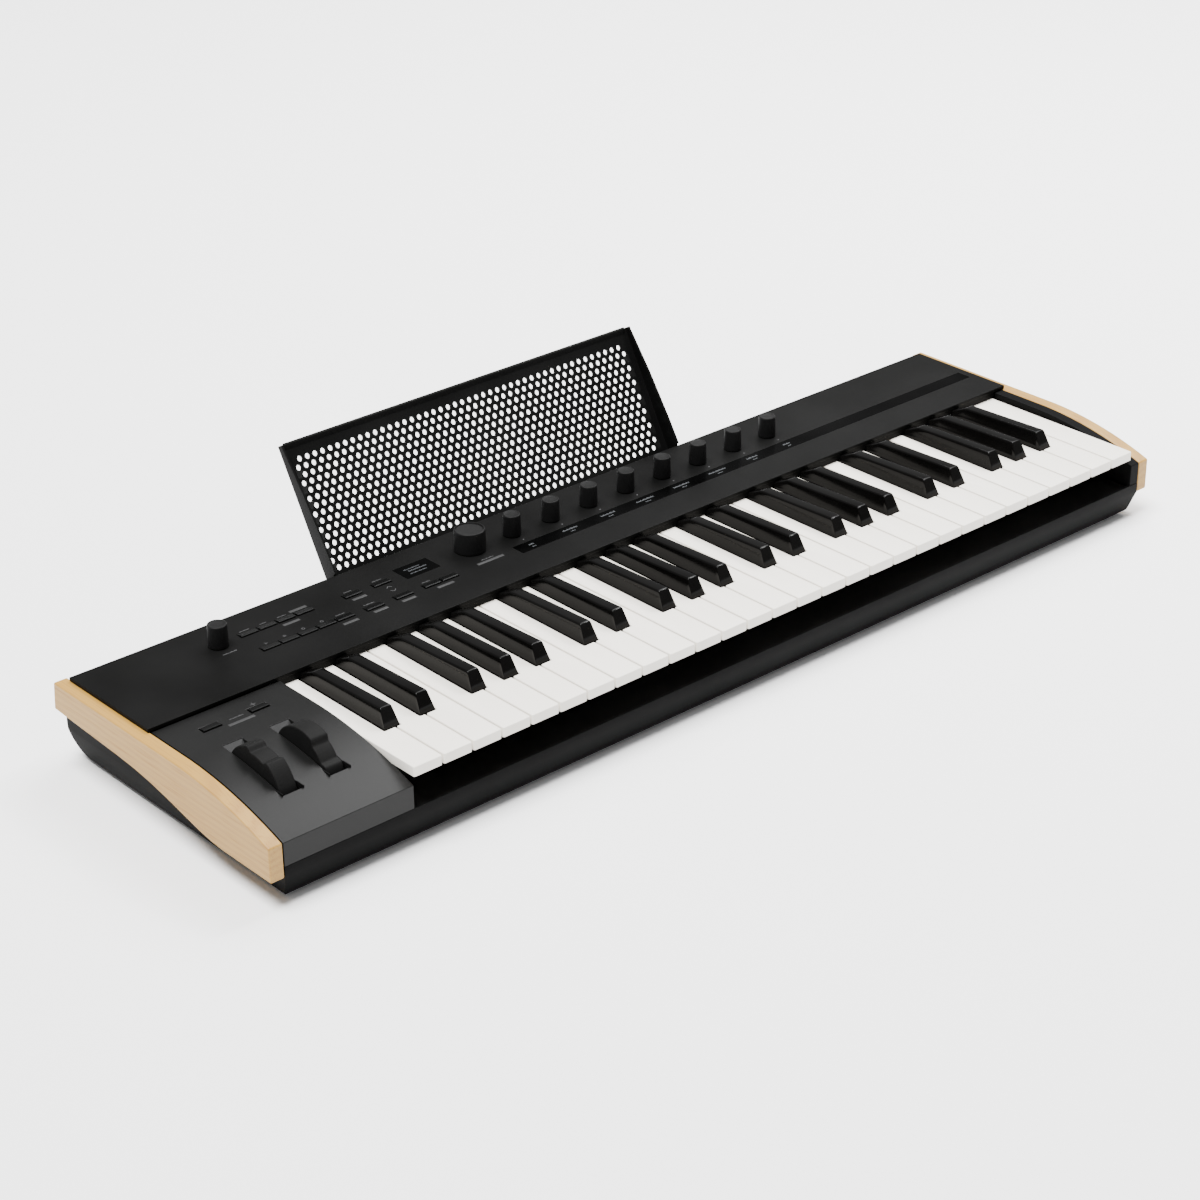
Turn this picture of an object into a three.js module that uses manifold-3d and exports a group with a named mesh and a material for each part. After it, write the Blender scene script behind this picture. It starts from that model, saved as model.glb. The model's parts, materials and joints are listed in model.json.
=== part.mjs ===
// A 49-key synthesizer keyboard with wooden cheeks and a perforated music stand, in millimetres.
// Design frame: X to the player's right from the middle of the case, Y from the front face to the
// back, Z up from the surface that the feet stand on. The exported group is then moved along Y so
// that its origin lies under the middle of its box.
import * as THREE from "three";
import { mergeVertices } from "three/addons/utils/BufferGeometryUtils.js";
import Module from "manifold-3d";

const wasm = await Module();
wasm.setup();

// Overall sizes.
const CASE_WIDTH = 788.4; // between the inner faces of the cheeks
const CHEEK_THICKNESS = 10.35;
const CHEEK_DEPTH = 232;
const CASE_DEPTH = 239;
const FOOT_HEIGHT = 4;
const KEY_TOP_HEIGHT = 56; // top of the white keys above the table
const FIT_GAP = 0.3; // between pieces that touch
const WALL = 2.5; // moulded case wall
const COVER_THICKNESS = 3; // curved covers over the wheels and at the right of the keys
const MERGE = 1; // how far pieces of one body reach into each other, and cuts past a face

// Lower edge of a cheek, from the back forwards: straight, a sweep down, straight.
const CHEEK_REAR_DROP = 15.4; // below the key tops at the back
const CHEEK_REAR_LEAN = 2.2;
const CHEEK_SWEEP_DROP = 19; // below the key tops where the sweep starts
const CHEEK_SWEEP_START_Y = 160.1;
const CHEEK_SWEEP_END_Y = 49.9;
const CHEEK_REAR_HANDLE = { y: 109, drop: 2.4 }; // how the sweep bends at its two ends
const CHEEK_FRONT_HANDLE = { y: 80, rise: 0.6 };

// Keys.
const WHITE_KEYS = 29;
const OCTAVES = 4;
const KEY_PITCH = 23.5;
const KEY_SEAM = 1;
const KEY_THICKNESS = 6.8;
const KEY_VISIBLE_LENGTH = 137;
const KEYS_CLEARANCE = 0.6; // between the outer keys and the blocks beside them
const RIGHT_BLOCK_WIDTH = 9.4;
const HEAD_LENGTH = 47.7; // white key in front of the black keys
const BLACK_WIDTH = 11.8;
const BLACK_TOP_WIDTH = 9;
const BLACK_HEIGHT = 12.3;
const BLACK_REAR_HEIGHT = 9.8;
const BLACK_CLEARANCE = 0.8;
const ARM_WIDTH = 8;
const BLACK_ARM_WIDTH = 6;
const ARM_DROP = 5; // top of the rear arms below the key tops
const ARM_HEIGHT = 4;
const HINGE_BAR = 4; // thickness of each comb's hinge bar along Y
const BLACK_HINGE_Y = 174;
const FRAME_WALL_DROP = 19; // front wall of the key frame below the key tops
const NATURAL_HINGE_SPACING = 8; // from one comb's hinge to the next
const BLACK_OFFSETS = [-2.3, 2.3, -3.1, 0, 3.3]; // of the black keys from the seams they cover
const BLACK_NOSE_LENGTH = 5.5; // slanted front face
const BLACK_NOSE_DROP = 1.4; // from the crest to the top of the front face
const BLACK_TAIL_CLEARANCE = 1; // rear end of a cap in front of the fascia's line
const BLACK_CREST = 9; // from the front to the highest point
const BLACK_TAIL = { length: 5, height: 4 }; // slope down under the fascia
const ARM_OVERLAP = 10; // of each rear arm with its key
const KEY_TAIL = 5; // white key behind the fascia's front
const BAR_HEIGHT = 3;
const BAR_CLEARANCE = 1.5; // between a bar and the arms that pass over or under it
const RAIL_CLEARANCE = 0.6; // under each hinge bar
const RAIL_MARGIN = 1; // in front of and behind each hinge bar

// Curved top of the wheel block and the cheeks: flat at the back, one arc down to the front.
const BLOCK_TOP = KEY_TOP_HEIGHT + 4.7;
const ARC_START_Y = 100;
const FRONT_DROP = 16.9; // from the flat to the front edge

// Top panel.
const PANEL_THICKNESS = 2.7;
const PANEL_OVERHANG = 2; // over each cheek
const PANEL_FRONT_Y = 136.4;
const PANEL_REAR_Y = 226.2;
const FASCIA_SETBACK = 0.5;
const FASCIA_THICKNESS = 2.2;
const FASCIA_GAP = 0.6; // over the white keys
const WINDOW_LEDGE = 1.2;
const WINDOW_THICKNESS = 1.3;

// Case front and back.
const LIP_HEIGHT = 27.2; // top of the front lip under the keys
const CREASE_HEIGHT = 20; // where the front face turns into the chamfer
const CHAMFER_DEPTH = 6;
const REAR_RADIUS = 21;
const LEDGE_HEIGHT = KEY_TOP_HEIGHT - 3; // shelf behind the panel that holds the stand
const SIDE_TAPER = 3; // inward slope of each side below the cheek
const RECESS_DEPTH = 30; // open space under the key fronts
const SHELF_DROP = 1; // floor of that space below the lip
const FRAME_LIFT = 1; // underside of the key frame above the lip
const SOCKET_DEPTH = 17; // block under the rear shelf that takes the stand's tabs
const RIB_FRONT_Y = 60; // floor ribs that carry the key frame
const RIB_REAR_Y = 178;
const SOCKET_MARGIN = 8; // of that block beside the tabs
const SOCKET_FRONT = 7; // in front of the panel's rear edge
const FOOT_RADIUS = 10;
const FOOT_INSET = 48; // from the ends and the back of the case
const FOOT_FRONT_Y = 30;

// Controls on the panel.
const CONTROL_PITCH = 15;
const BUTTON_GAP = 0.4;
const BUTTON_WIDTH = 13.4;
const BUTTON_DEPTH = 5.7;
const BUTTON_RISE = 1.1;
const BUTTON_FLANGE = 0.5;
const BUTTON_FLANGE_THICKNESS = 1.2;
const BUTTON_REAR_RISE = 0.15;
const BUTTON_NOSE = { depth: 0.9, drop: 0.5 }; // slanted front edge of a cap
const BUTTON_ROOT = 0.6; // of a cap inside its flange
const WIDE_BUTTON_WIDTH = 14;
const REAR_ROW_Y = 198.2;
const FRONT_ROW_Y = 173.2;
const ROW_START_X = -277.5; // middle of the first button of both long rows
const BLOCK_REAR_ROW_Y = 196.2; // exit, up, shift and down, and the page pair beside them
const BLOCK_FRONT_ROW_Y = 172;
const EXIT_X = -194;
const UP_X = -169.6;
const PAGE_X = -145.4;
const OCTAVE_BUTTON_Y = 117;
const OCTAVE_DOWN_X = -363.1;
const OCTAVE_UP_X = -327.2;
const KNOB_Y = 193.5;
const KNOB_HEIGHT = 16.3;
const KNOB_DIAMETER = 13.1;
const KNOB_COUNT = 8;
const KNOB_CHAMFER = 0.6;
const KNOB_RIM = 1.4; // from the side to the inner edge of the top rim
const KNOB_DISH = 0.5;
const VOLUME_DIAMETER = 13.9;
const DIAL_DIAMETER = 22.8;
const SHAFT_DIAMETER = 6;
const SHAFT_CLEARANCE = 0.5;
const KNOB_PITCH = 35.6;
const FIRST_KNOB_X = -56.3;
const DIAL_X = -92.9;
const VOLUME_X = -301.9;
const VOLUME_Y = 196.5;
const DIAL_Y = 195;
const DISPLAY = { x: -138, y: 197.5, width: 28.8, depth: 17.5 };
const STRIP = { left: -69.4, right: 388.9, front: 165.8, rear: 177.8 };

// Wheels.
const WHEEL_RADIUS = 28;
const WHEEL_WIDTH = 12.6;
const WHEEL_Y = 62.2;
const WHEEL_HEIGHT = KEY_TOP_HEIGHT - 12.5; // axle above the table
const WHEEL_SLOT_WIDTH = 14.6;
const WHEEL_SLOT_FRONT = 31.2;
const WHEEL_SLOT_REAR = 93;
const PITCH_WHEEL_X = -363.7;
const MOD_WHEEL_X = -328.7;
const AXLE_RADIUS = 3;
const AXLE_CLEARANCE = 0.1;
const SCOOP_RADIUS = 10;
const SCOOP_DEPTH = 3.5;
const PITCH_SCOOP_ANGLE = THREE.MathUtils.degToRad(10);
const MOD_SCOOP_ANGLE = THREE.MathUtils.degToRad(45);
const BRACKET = { plate: 2, depth: 14, height: 6, base: 28, reach: 4 };

// Music stand: a leaning sheet with folded edges, held by two tabs in slots of the rear shelf.
const STAND_LEAN = THREE.MathUtils.degToRad(29.6);
const STAND_X = -26.5;
const STAND_WIDTH = 319;
const STAND_Y = 240; // front of the sheet at the height of STAND_Z
const STAND_Z = KEY_TOP_HEIGHT + 8;
const STAND_TOP = 88.5; // along the sheet from STAND_Z
const STAND_BOTTOM = -11.5;
const STAND_SHEET = 1.6;
const STAND_FLANGE_TOP = 4.2; // depth of the folded sides at the top, deeper further down
const STAND_FLANGE_MIDDLE = 9.3;
const STAND_FLANGE_MIDDLE_Z = 51.3; // along the sheet, as are the next three
const STAND_FLANGE_LOW = 12.6;
const STAND_FLANGE_LOW_Z = 12.4;
const STAND_FLANGE_BOTTOM = 13.3;
const STAND_FLANGE_STEP_Z = -6; // below this the flange stays behind the panel
const STAND_FLANGE_END_Z = -11;
const STAND_TOP_LIP = 5;
const STAND_LIP_REACH = 3.4;
const STAND_LIP_RISE = 1.2;
const STAND_RELIEF = 2.5; // open corner between the lip and each flange
const PANEL_CLEARANCE = 0.8; // behind the panel's rear edge
const TAB_WIDTH = 60;
const TAB_LENGTH = 12;
const TAB_SPACING = 210;
const TAB_CLEARANCE = 0.4;
const SLOT_DEPTH_SPARE = 1;

// Sockets in the rear wall.
const JACK_HEIGHT = 38;
const JACK_BORE = 6.6;
const JACK_SPACING = 34;
const FIRST_JACK_X = 190;
const JACK_COUNT = 4;
const SOCKET_LENGTH = 16;
const PORT_WIDTH = 10;
const PORT_HEIGHT = 4.6;
const SOCKET_WALL = 1; // clearance of the holes, and wall around the port
const SOCKET_BODY = { width: 15, above: 6.5, below: 7, end: 1.5 };
const PORT_BODY = { length: 9, bore: 7 };
const JACK_BOARD = { depth: 30, margin: 14, legWidth: 4, legDepth: 6, setback: 1, merge: 0.4 };

// Boards inside.
const BOARD_THICKNESS = 1.6;
const BOARD_GAP = 1.6; // under the button flanges
const MAIN_BOARD = { left: 12, right: 14, front: 9, rear: 8, post: 6, postInset: 5, postAtDial: 22 };
const CONTROL_BODY_RADIUS = 6.5;
const CONTACT_BOARD = { front: 92, rear: 130, inset: 4, lift: 5, legDepth: 4, legInset: 2, merge: 0.5 };
const FRAME_INSET = 1; // of the key frame from the outer keys

// Values that follow from the ones above.
const CASE_HALF = CASE_WIDTH / 2;
const KEYS_WIDTH = WHITE_KEYS * KEY_PITCH;
const KEYS_RIGHT = CASE_HALF - RIGHT_BLOCK_WIDTH - KEYS_CLEARANCE + KEY_SEAM / 2;
const KEYS_LEFT = KEYS_RIGHT - KEYS_WIDTH;
const PANEL_BOTTOM = BLOCK_TOP + FIT_GAP;
const PANEL_TOP = PANEL_BOTTOM + PANEL_THICKNESS;
const OCTAVE = 7 * KEY_PITCH;
const ARC_RADIUS = (ARC_START_Y ** 2 + FRONT_DROP ** 2) / (2 * FRONT_DROP);
const BUTTON_FLANGE_TOP = PANEL_BOTTOM - FIT_GAP;
const BUTTON_FLANGE_BOTTOM = BUTTON_FLANGE_TOP - BUTTON_FLANGE_THICKNESS;
const BOARD_TOP = BUTTON_FLANGE_BOTTOM - BOARD_GAP;
const ARM_TOP = KEY_TOP_HEIGHT - ARM_DROP;
const ARM_BOTTOM = ARM_TOP - ARM_HEIGHT;
const SHELF_HEIGHT = LIP_HEIGHT - SHELF_DROP;
const FRAME_BOTTOM = LIP_HEIGHT + FRAME_LIFT;
const DFA_HINGE_Y = BLACK_HINGE_Y + NATURAL_HINGE_SPACING;
const CEGB_HINGE_Y = DFA_HINGE_Y + NATURAL_HINGE_SPACING;

const COLOURS = {
  blackPlastic: { color: 0x161616, roughness: 0.6, metalness: 0 },
  panel: { color: 0x262626, roughness: 0.55, metalness: 0.2 },
  wheelPanel: { color: 0x4a4a4a, roughness: 0.45, metalness: 0.2 },
  wood: { color: 0xc9a97a, roughness: 0.6, metalness: 0 },
  whiteKey: { color: 0xf0ede6, roughness: 0.35, metalness: 0 },
  blackKey: { color: 0x0b0b0b, roughness: 0.2, metalness: 0 },
  rubber: { color: 0x1a1a1a, roughness: 0.85, metalness: 0 },
  window: { color: 0x050505, roughness: 0.1, metalness: 0 },
  board: { color: 0x1f5b35, roughness: 0.6, metalness: 0.1 },
  steel: { color: 0x9a9a9a, roughness: 0.4, metalness: 0.9 },
  standMetal: { color: 0x202020, roughness: 0.5, metalness: 0.4 },
};

const model = new THREE.Group();

// A closed three.js geometry as a manifold solid.
function solid(geometry) {
  const bare = geometry.index ? geometry.toNonIndexed() : geometry.clone();
  bare.deleteAttribute("normal");
  bare.deleteAttribute("uv");
  const merged = mergeVertices(bare, 1e-4);
  return new wasm.Manifold(
    new wasm.Mesh({
      numProp: 3,
      vertProperties: merged.attributes.position.array,
      triVerts: new Uint32Array(merged.index.array),
    }),
  );
}

function geometryOf(body) {
  const mesh = body.getMesh();
  const geometry = new THREE.BufferGeometry();
  geometry.setAttribute("position", new THREE.BufferAttribute(mesh.vertProperties, 3));
  geometry.setIndex(new THREE.BufferAttribute(mesh.triVerts, 1));
  geometry.computeVertexNormals();
  return geometry;
}

function addPiece(name, body, finish, parent = model) {
  const mesh = new THREE.Mesh(geometryOf(body), new THREE.MeshStandardMaterial(COLOURS[finish]));
  mesh.name = name;
  parent.add(mesh);
  return mesh;
}

function box(x0, x1, y0, y1, z0, z1) {
  const geometry = new THREE.BoxGeometry(x1 - x0, y1 - y0, z1 - z0);
  geometry.translate((x0 + x1) / 2, (y0 + y1) / 2, (z0 + z1) / 2);
  return solid(geometry);
}

const outline = (points) => new THREE.Shape(points.map(([u, v]) => new THREE.Vector2(u, v)));

// An outline drawn in Y and Z, carried along X.
function prismX(shape, x0, x1) {
  const geometry = new THREE.ExtrudeGeometry(shape, {
    depth: x1 - x0,
    bevelEnabled: false,
    curveSegments: 8,
  });
  const axes = [new THREE.Vector3(0, 1, 0), new THREE.Vector3(0, 0, 1), new THREE.Vector3(1, 0, 0)];
  geometry.applyMatrix4(new THREE.Matrix4().makeBasis(...axes));
  geometry.translate(x0, 0, 0);
  return solid(geometry);
}

// An outline drawn in X and Z, carried along Y.
function prismY(shape, y0, y1) {
  const geometry = new THREE.ExtrudeGeometry(shape, { depth: y1 - y0, bevelEnabled: false });
  geometry.rotateX(Math.PI / 2);
  geometry.translate(0, y1, 0);
  return solid(geometry);
}

// An outline drawn in X and Y, carried up along Z.
function prismZ(shape, z0, z1) {
  const geometry = new THREE.ExtrudeGeometry(shape, { depth: z1 - z0, bevelEnabled: false });
  geometry.translate(0, 0, z0);
  return solid(geometry);
}

function cylinderZ(radius, x, y, z0, z1, sides = 24) {
  const geometry = new THREE.CylinderGeometry(radius, radius, z1 - z0, sides);
  geometry.rotateX(Math.PI / 2);
  geometry.translate(x, y, (z0 + z1) / 2);
  return solid(geometry);
}

function cylinderX(radius, y, z, x0, x1, sides = 24) {
  const geometry = new THREE.CylinderGeometry(radius, radius, x1 - x0, sides);
  geometry.rotateZ(Math.PI / 2);
  geometry.translate((x0 + x1) / 2, y, z);
  return solid(geometry);
}

function cylinderY(radius, x, z, y0, y1, sides = 20) {
  const geometry = new THREE.CylinderGeometry(radius, radius, y1 - y0, sides);
  geometry.translate(x, (y0 + y1) / 2, z);
  return solid(geometry);
}

const joined = (bodies) => bodies.reduce((sum, body) => sum.add(body));
const without = (body, cuts) => cuts.reduce((rest, cut) => rest.subtract(cut), body);

// Height of the curved top at a distance from the front, lowered by a drop.
function topHeight(y, drop = 0) {
  const behind = ARC_START_Y - y;
  const fall = behind > 0 ? ARC_RADIUS - Math.sqrt(ARC_RADIUS ** 2 - behind ** 2) : 0;
  return BLOCK_TOP - fall - drop;
}

// Points of the curved top from the front face backwards.
function topCurve(drop = 0, steps = 12) {
  return Array.from({ length: steps + 1 }, (_, i) => {
    const y = (ARC_START_Y * i) / steps;
    return [y, topHeight(y, drop)];
  });
}

// Side view of a wooden cheek: the curved top, an upright back, and a lower edge that sweeps down
// to a deeper front.
function cheekOutline() {
  const frontBottom = CREASE_HEIGHT - FIT_GAP;
  const sweepTop = KEY_TOP_HEIGHT - CHEEK_SWEEP_DROP;
  const shape = new THREE.Shape();
  shape.moveTo(0, frontBottom);
  shape.lineTo(CHEEK_SWEEP_END_Y, frontBottom);
  shape.bezierCurveTo(
    CHEEK_FRONT_HANDLE.y,
    frontBottom + CHEEK_FRONT_HANDLE.rise,
    CHEEK_REAR_HANDLE.y,
    sweepTop - CHEEK_REAR_HANDLE.drop,
    CHEEK_SWEEP_START_Y,
    sweepTop,
  );
  shape.lineTo(CHEEK_DEPTH + CHEEK_REAR_LEAN, KEY_TOP_HEIGHT - CHEEK_REAR_DROP);
  shape.lineTo(CHEEK_DEPTH, BLOCK_TOP);
  for (const [y, z] of topCurve().reverse()) {
    shape.lineTo(y, z);
  }
  return shape;
}

function addCheeks() {
  const inner = CASE_HALF + FIT_GAP / 2;
  const outer = CASE_HALF + CHEEK_THICKNESS;
  addPiece("left_cheek", prismX(cheekOutline(), -outer, -inner), "wood");
  addPiece("right_cheek", prismX(cheekOutline(), inner, outer), "wood");
}

// The floor and rear of the case in side view, drawn inside the outer surface by an inset.
function tubOutline(inset) {
  const bottom = FOOT_HEIGHT + inset;
  const rear = CASE_DEPTH - inset;
  const radius = REAR_RADIUS - inset;
  const shape = new THREE.Shape();
  shape.moveTo(inset, CREASE_HEIGHT);
  shape.lineTo(CHAMFER_DEPTH + inset, bottom);
  shape.lineTo(rear - radius, bottom);
  shape.absarc(rear - radius, bottom + radius, radius, -Math.PI / 2, 0, false);
  shape.lineTo(rear, LEDGE_HEIGHT - inset);
  shape.lineTo(PANEL_REAR_Y + FIT_GAP - inset, LEDGE_HEIGHT - inset);
  return shape;
}

// Outer side view: under the panel at the back, under the curved covers at the front.
function caseOutline() {
  const shape = tubOutline(0);
  shape.lineTo(PANEL_REAR_Y + FIT_GAP, BLOCK_TOP);
  shape.lineTo(PANEL_FRONT_Y, BLOCK_TOP);
  shape.lineTo(PANEL_FRONT_Y, BLOCK_TOP - COVER_THICKNESS - FIT_GAP);
  for (const [y, z] of topCurve(COVER_THICKNESS + FIT_GAP).reverse()) {
    shape.lineTo(y, z);
  }
  return shape;
}

// Side view of the inside, open at the top.
function hollowOutline() {
  const shape = tubOutline(WALL);
  shape.lineTo(PANEL_REAR_Y + FIT_GAP - WALL, PANEL_TOP);
  shape.lineTo(WALL, PANEL_TOP);
  return shape;
}

// Front view of the case or of its inside: the sides lean in below the crease.
function sidesOutline(inset) {
  const half = CASE_HALF - FIT_GAP / 2 - inset;
  return outline([
    [-half + SIDE_TAPER, FOOT_HEIGHT],
    [half - SIDE_TAPER, FOOT_HEIGHT],
    [half, CREASE_HEIGHT],
    [half, PANEL_TOP + MERGE],
    [-half, PANEL_TOP + MERGE],
    [-half, CREASE_HEIGHT],
  ]);
}

function tub(side, inset) {
  return prismX(side, -CASE_HALF, CASE_HALF).intersect(
    prismY(sidesOutline(inset), -MERGE, CASE_DEPTH + MERGE),
  );
}

function standPlacement() {
  const placement = new THREE.Object3D();
  placement.position.set(STAND_X, STAND_Y, STAND_Z);
  placement.rotation.x = -STAND_LEAN;
  placement.updateMatrix();
  return placement;
}

// A slot in the rear shelf that takes one tab of the stand.
function tabSlot(side) {
  const half = TAB_WIDTH / 2 + TAB_CLEARANCE;
  const low = STAND_BOTTOM - TAB_LENGTH - SLOT_DEPTH_SPARE;
  const geometry = new THREE.BoxGeometry(2 * half, STAND_SHEET + 2 * TAB_CLEARANCE, STAND_TOP - low);
  geometry.translate((side * TAB_SPACING) / 2, STAND_SHEET / 2, (STAND_TOP + low) / 2);
  geometry.applyMatrix4(standPlacement().matrix);
  return solid(geometry);
}

const jackX = (index) => FIRST_JACK_X + index * JACK_SPACING;

function addCase() {
  const shell = without(tub(caseOutline(), 0), [tub(hollowOutline(), WALL)]);
  const frontOpening = box(
    -CASE_HALF,
    CASE_HALF,
    -MERGE,
    WALL + FIT_GAP,
    LIP_HEIGHT,
    PANEL_TOP,
  );
  const shelf = box(KEYS_LEFT, KEYS_RIGHT, WALL / 2, RECESS_DEPTH, SHELF_HEIGHT - WALL, SHELF_HEIGHT);
  const socketHalf = (TAB_SPACING + TAB_WIDTH) / 2 + SOCKET_MARGIN;
  const socket = box(
    STAND_X - socketHalf,
    STAND_X + socketHalf,
    PANEL_REAR_Y - SOCKET_FRONT,
    CASE_DEPTH - WALL / 2,
    LEDGE_HEIGHT - SOCKET_DEPTH,
    LEDGE_HEIGHT - WALL / 2,
  );
  const ribs = [RIB_FRONT_Y, RIB_REAR_Y].map((y) =>
    box(KEYS_LEFT, KEYS_RIGHT, y, y + WALL, FOOT_HEIGHT + MERGE, FRAME_BOTTOM - FIT_GAP),
  );
  const holeFront = CASE_DEPTH - 2 * WALL;
  const holeRear = CASE_DEPTH + MERGE;
  const jackHoles = Array.from({ length: JACK_COUNT }, (_, i) =>
    cylinderY(JACK_BORE / 2 + SOCKET_WALL, jackX(i), JACK_HEIGHT, holeFront, holeRear),
  );
  const portX = jackX(JACK_COUNT);
  const port = box(
    portX - PORT_WIDTH / 2 - SOCKET_WALL,
    portX + PORT_WIDTH / 2 + SOCKET_WALL,
    holeFront,
    holeRear,
    JACK_HEIGHT - PORT_HEIGHT / 2 - SOCKET_WALL,
    JACK_HEIGHT + PORT_HEIGHT / 2 + SOCKET_WALL,
  );
  const filled = joined([shell.subtract(frontOpening), shelf, socket, ...ribs]);
  const cuts = [tabSlot(-1), tabSlot(1), port, ...jackHoles];
  addPiece("bottom_case", without(filled, cuts), "blackPlastic");
}

function addFeet() {
  const across = CASE_HALF - FIT_GAP / 2 - FOOT_INSET;
  const rear = CASE_DEPTH - FOOT_INSET;
  const body = cylinderZ(FOOT_RADIUS, 0, 0, 0, FOOT_HEIGHT - FIT_GAP, 16);
  for (const [name, x, y] of [
    ["foot_front_left", -across, FOOT_FRONT_Y],
    ["foot_front_right", across, FOOT_FRONT_Y],
    ["foot_rear_left", -across, rear],
    ["foot_rear_right", across, rear],
  ]) {
    const foot = addPiece(name, body, "rubber");
    foot.position.set(x, y, 0);
  }
}

// The rear edge of a curved cover lies just in front of the panel's fascia.
function coverOutline(thickness) {
  const rear = PANEL_FRONT_Y - FIT_GAP;
  const under = topCurve(thickness);
  return outline([
    ...topCurve(),
    [rear, BLOCK_TOP],
    [rear, BLOCK_TOP - thickness],
    ...under.reverse(),
  ]);
}

function addWheelPanel() {
  const left = -CASE_HALF + FIT_GAP;
  const right = KEYS_LEFT + KEY_SEAM / 2 - KEYS_CLEARANCE;
  const cover = prismX(coverOutline(COVER_THICKNESS), left, right);
  const front = box(left, right, 0, WALL, LIP_HEIGHT + FIT_GAP, topHeight(0, MERGE));
  const side = prismX(blockSide(), right - WALL, right);
  const slots = [PITCH_WHEEL_X, MOD_WHEEL_X].map((x) =>
    box(
      x - WHEEL_SLOT_WIDTH / 2,
      x + WHEEL_SLOT_WIDTH / 2,
      WHEEL_SLOT_FRONT,
      WHEEL_SLOT_REAR,
      LIP_HEIGHT,
      BLOCK_TOP + MERGE,
    ),
  );
  const holes = OCTAVE_BUTTONS.map(({ x }) =>
    buttonHole(x, OCTAVE_BUTTON_Y, BUTTON_WIDTH, LIP_HEIGHT, BLOCK_TOP + MERGE),
  );
  const panel = without(joined([cover, front, side]), [...slots, ...holes]);
  addPiece("wheel_panel", panel, "wheelPanel");
}

// Side view of the wall beside the keys, from the lip up into the cover.
function blockSide() {
  const rear = PANEL_FRONT_Y - FIT_GAP;
  return outline([
    ...topCurve(COVER_THICKNESS / 2),
    [rear, BLOCK_TOP - COVER_THICKNESS / 2],
    [rear, LIP_HEIGHT + FIT_GAP],
    [0, LIP_HEIGHT + FIT_GAP],
  ]);
}

function addRightBlock() {
  const left = CASE_HALF - RIGHT_BLOCK_WIDTH;
  const right = CASE_HALF - FIT_GAP;
  const cover = prismX(coverOutline(COVER_THICKNESS), left, right);
  const front = box(left, right, 0, WALL, LIP_HEIGHT + FIT_GAP, topHeight(0, MERGE));
  const side = prismX(blockSide(), left, right - WALL - FIT_GAP);
  addPiece("right_end_block", joined([cover, front, side]), "blackPlastic");
}

const OCTAVE_BUTTONS = [
  { name: "button_octave_down", x: OCTAVE_DOWN_X },
  { name: "button_octave_up", x: OCTAVE_UP_X },
];

// Buttons on the panel: two long rows, four in a block beside the display, and a page pair.
const PANEL_BUTTONS = [
  ...["a", "b", "c", "d"].map((letter, i) => ({
    name: `button_upper_${letter}`,
    x: ROW_START_X + i * CONTROL_PITCH,
    y: REAR_ROW_Y,
    width: BUTTON_WIDTH,
  })),
  ...["a", "b", "c", "d", "e"].map((letter, i) => ({
    name: `button_lower_${letter}`,
    x: ROW_START_X + i * CONTROL_PITCH,
    y: FRONT_ROW_Y,
    width: BUTTON_WIDTH,
  })),
  { name: "button_exit", x: EXIT_X, y: BLOCK_REAR_ROW_Y, width: WIDE_BUTTON_WIDTH },
  { name: "button_up", x: UP_X, y: BLOCK_REAR_ROW_Y, width: WIDE_BUTTON_WIDTH },
  { name: "button_shift", x: EXIT_X, y: BLOCK_FRONT_ROW_Y, width: WIDE_BUTTON_WIDTH },
  { name: "button_down", x: UP_X, y: BLOCK_FRONT_ROW_Y, width: WIDE_BUTTON_WIDTH },
  ...["button_page_left", "button_page_right"].map((name, i) => ({
    name,
    x: PAGE_X + i * CONTROL_PITCH,
    y: BLOCK_FRONT_ROW_Y,
    width: BUTTON_WIDTH,
  })),
];

const KNOBS = [
  { name: "knob_volume", x: VOLUME_X, y: VOLUME_Y, diameter: VOLUME_DIAMETER },
  { name: "dial_value", x: DIAL_X, y: DIAL_Y, diameter: DIAL_DIAMETER },
  ...Array.from({ length: KNOB_COUNT }, (_, i) => ({
    name: `knob_${i + 1}`,
    x: FIRST_KNOB_X + i * KNOB_PITCH,
    y: KNOB_Y,
    diameter: KNOB_DIAMETER,
  })),
];

function buttonHole(x, y, width, z0, z1) {
  const halfWidth = width / 2 + BUTTON_GAP;
  const halfDepth = BUTTON_DEPTH / 2 + BUTTON_GAP;
  return box(x - halfWidth, x + halfWidth, y - halfDepth, y + halfDepth, z0, z1);
}

// A wedge-topped cap, higher at the front, on a flange that stays under the panel.
function buttonBody(width, surface, thickness) {
  const half = BUTTON_DEPTH / 2;
  const flangeTop = surface - thickness - FIT_GAP;
  const cap = outline([
    [-half, flangeTop - BUTTON_ROOT],
    [half, flangeTop - BUTTON_ROOT],
    [half, surface + BUTTON_REAR_RISE],
    [-half + BUTTON_NOSE.depth, surface + BUTTON_RISE],
    [-half, surface + BUTTON_RISE - BUTTON_NOSE.drop],
  ]);
  const flange = box(
    -width / 2 - BUTTON_FLANGE,
    width / 2 + BUTTON_FLANGE,
    -half - BUTTON_FLANGE,
    half + BUTTON_FLANGE,
    flangeTop - BUTTON_FLANGE_THICKNESS,
    flangeTop,
  );
  return prismX(cap, -width / 2, width / 2).add(flange);
}

function addButtons() {
  for (const { name, x, y, width } of PANEL_BUTTONS) {
    const button = addPiece(name, buttonBody(width, PANEL_TOP, PANEL_THICKNESS), "blackPlastic");
    button.position.set(x, y, 0);
  }
  for (const { name, x } of OCTAVE_BUTTONS) {
    const body = buttonBody(BUTTON_WIDTH, BLOCK_TOP, COVER_THICKNESS);
    const button = addPiece(name, body, "blackPlastic");
    button.position.set(x, OCTAVE_BUTTON_Y, 0);
  }
}

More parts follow.
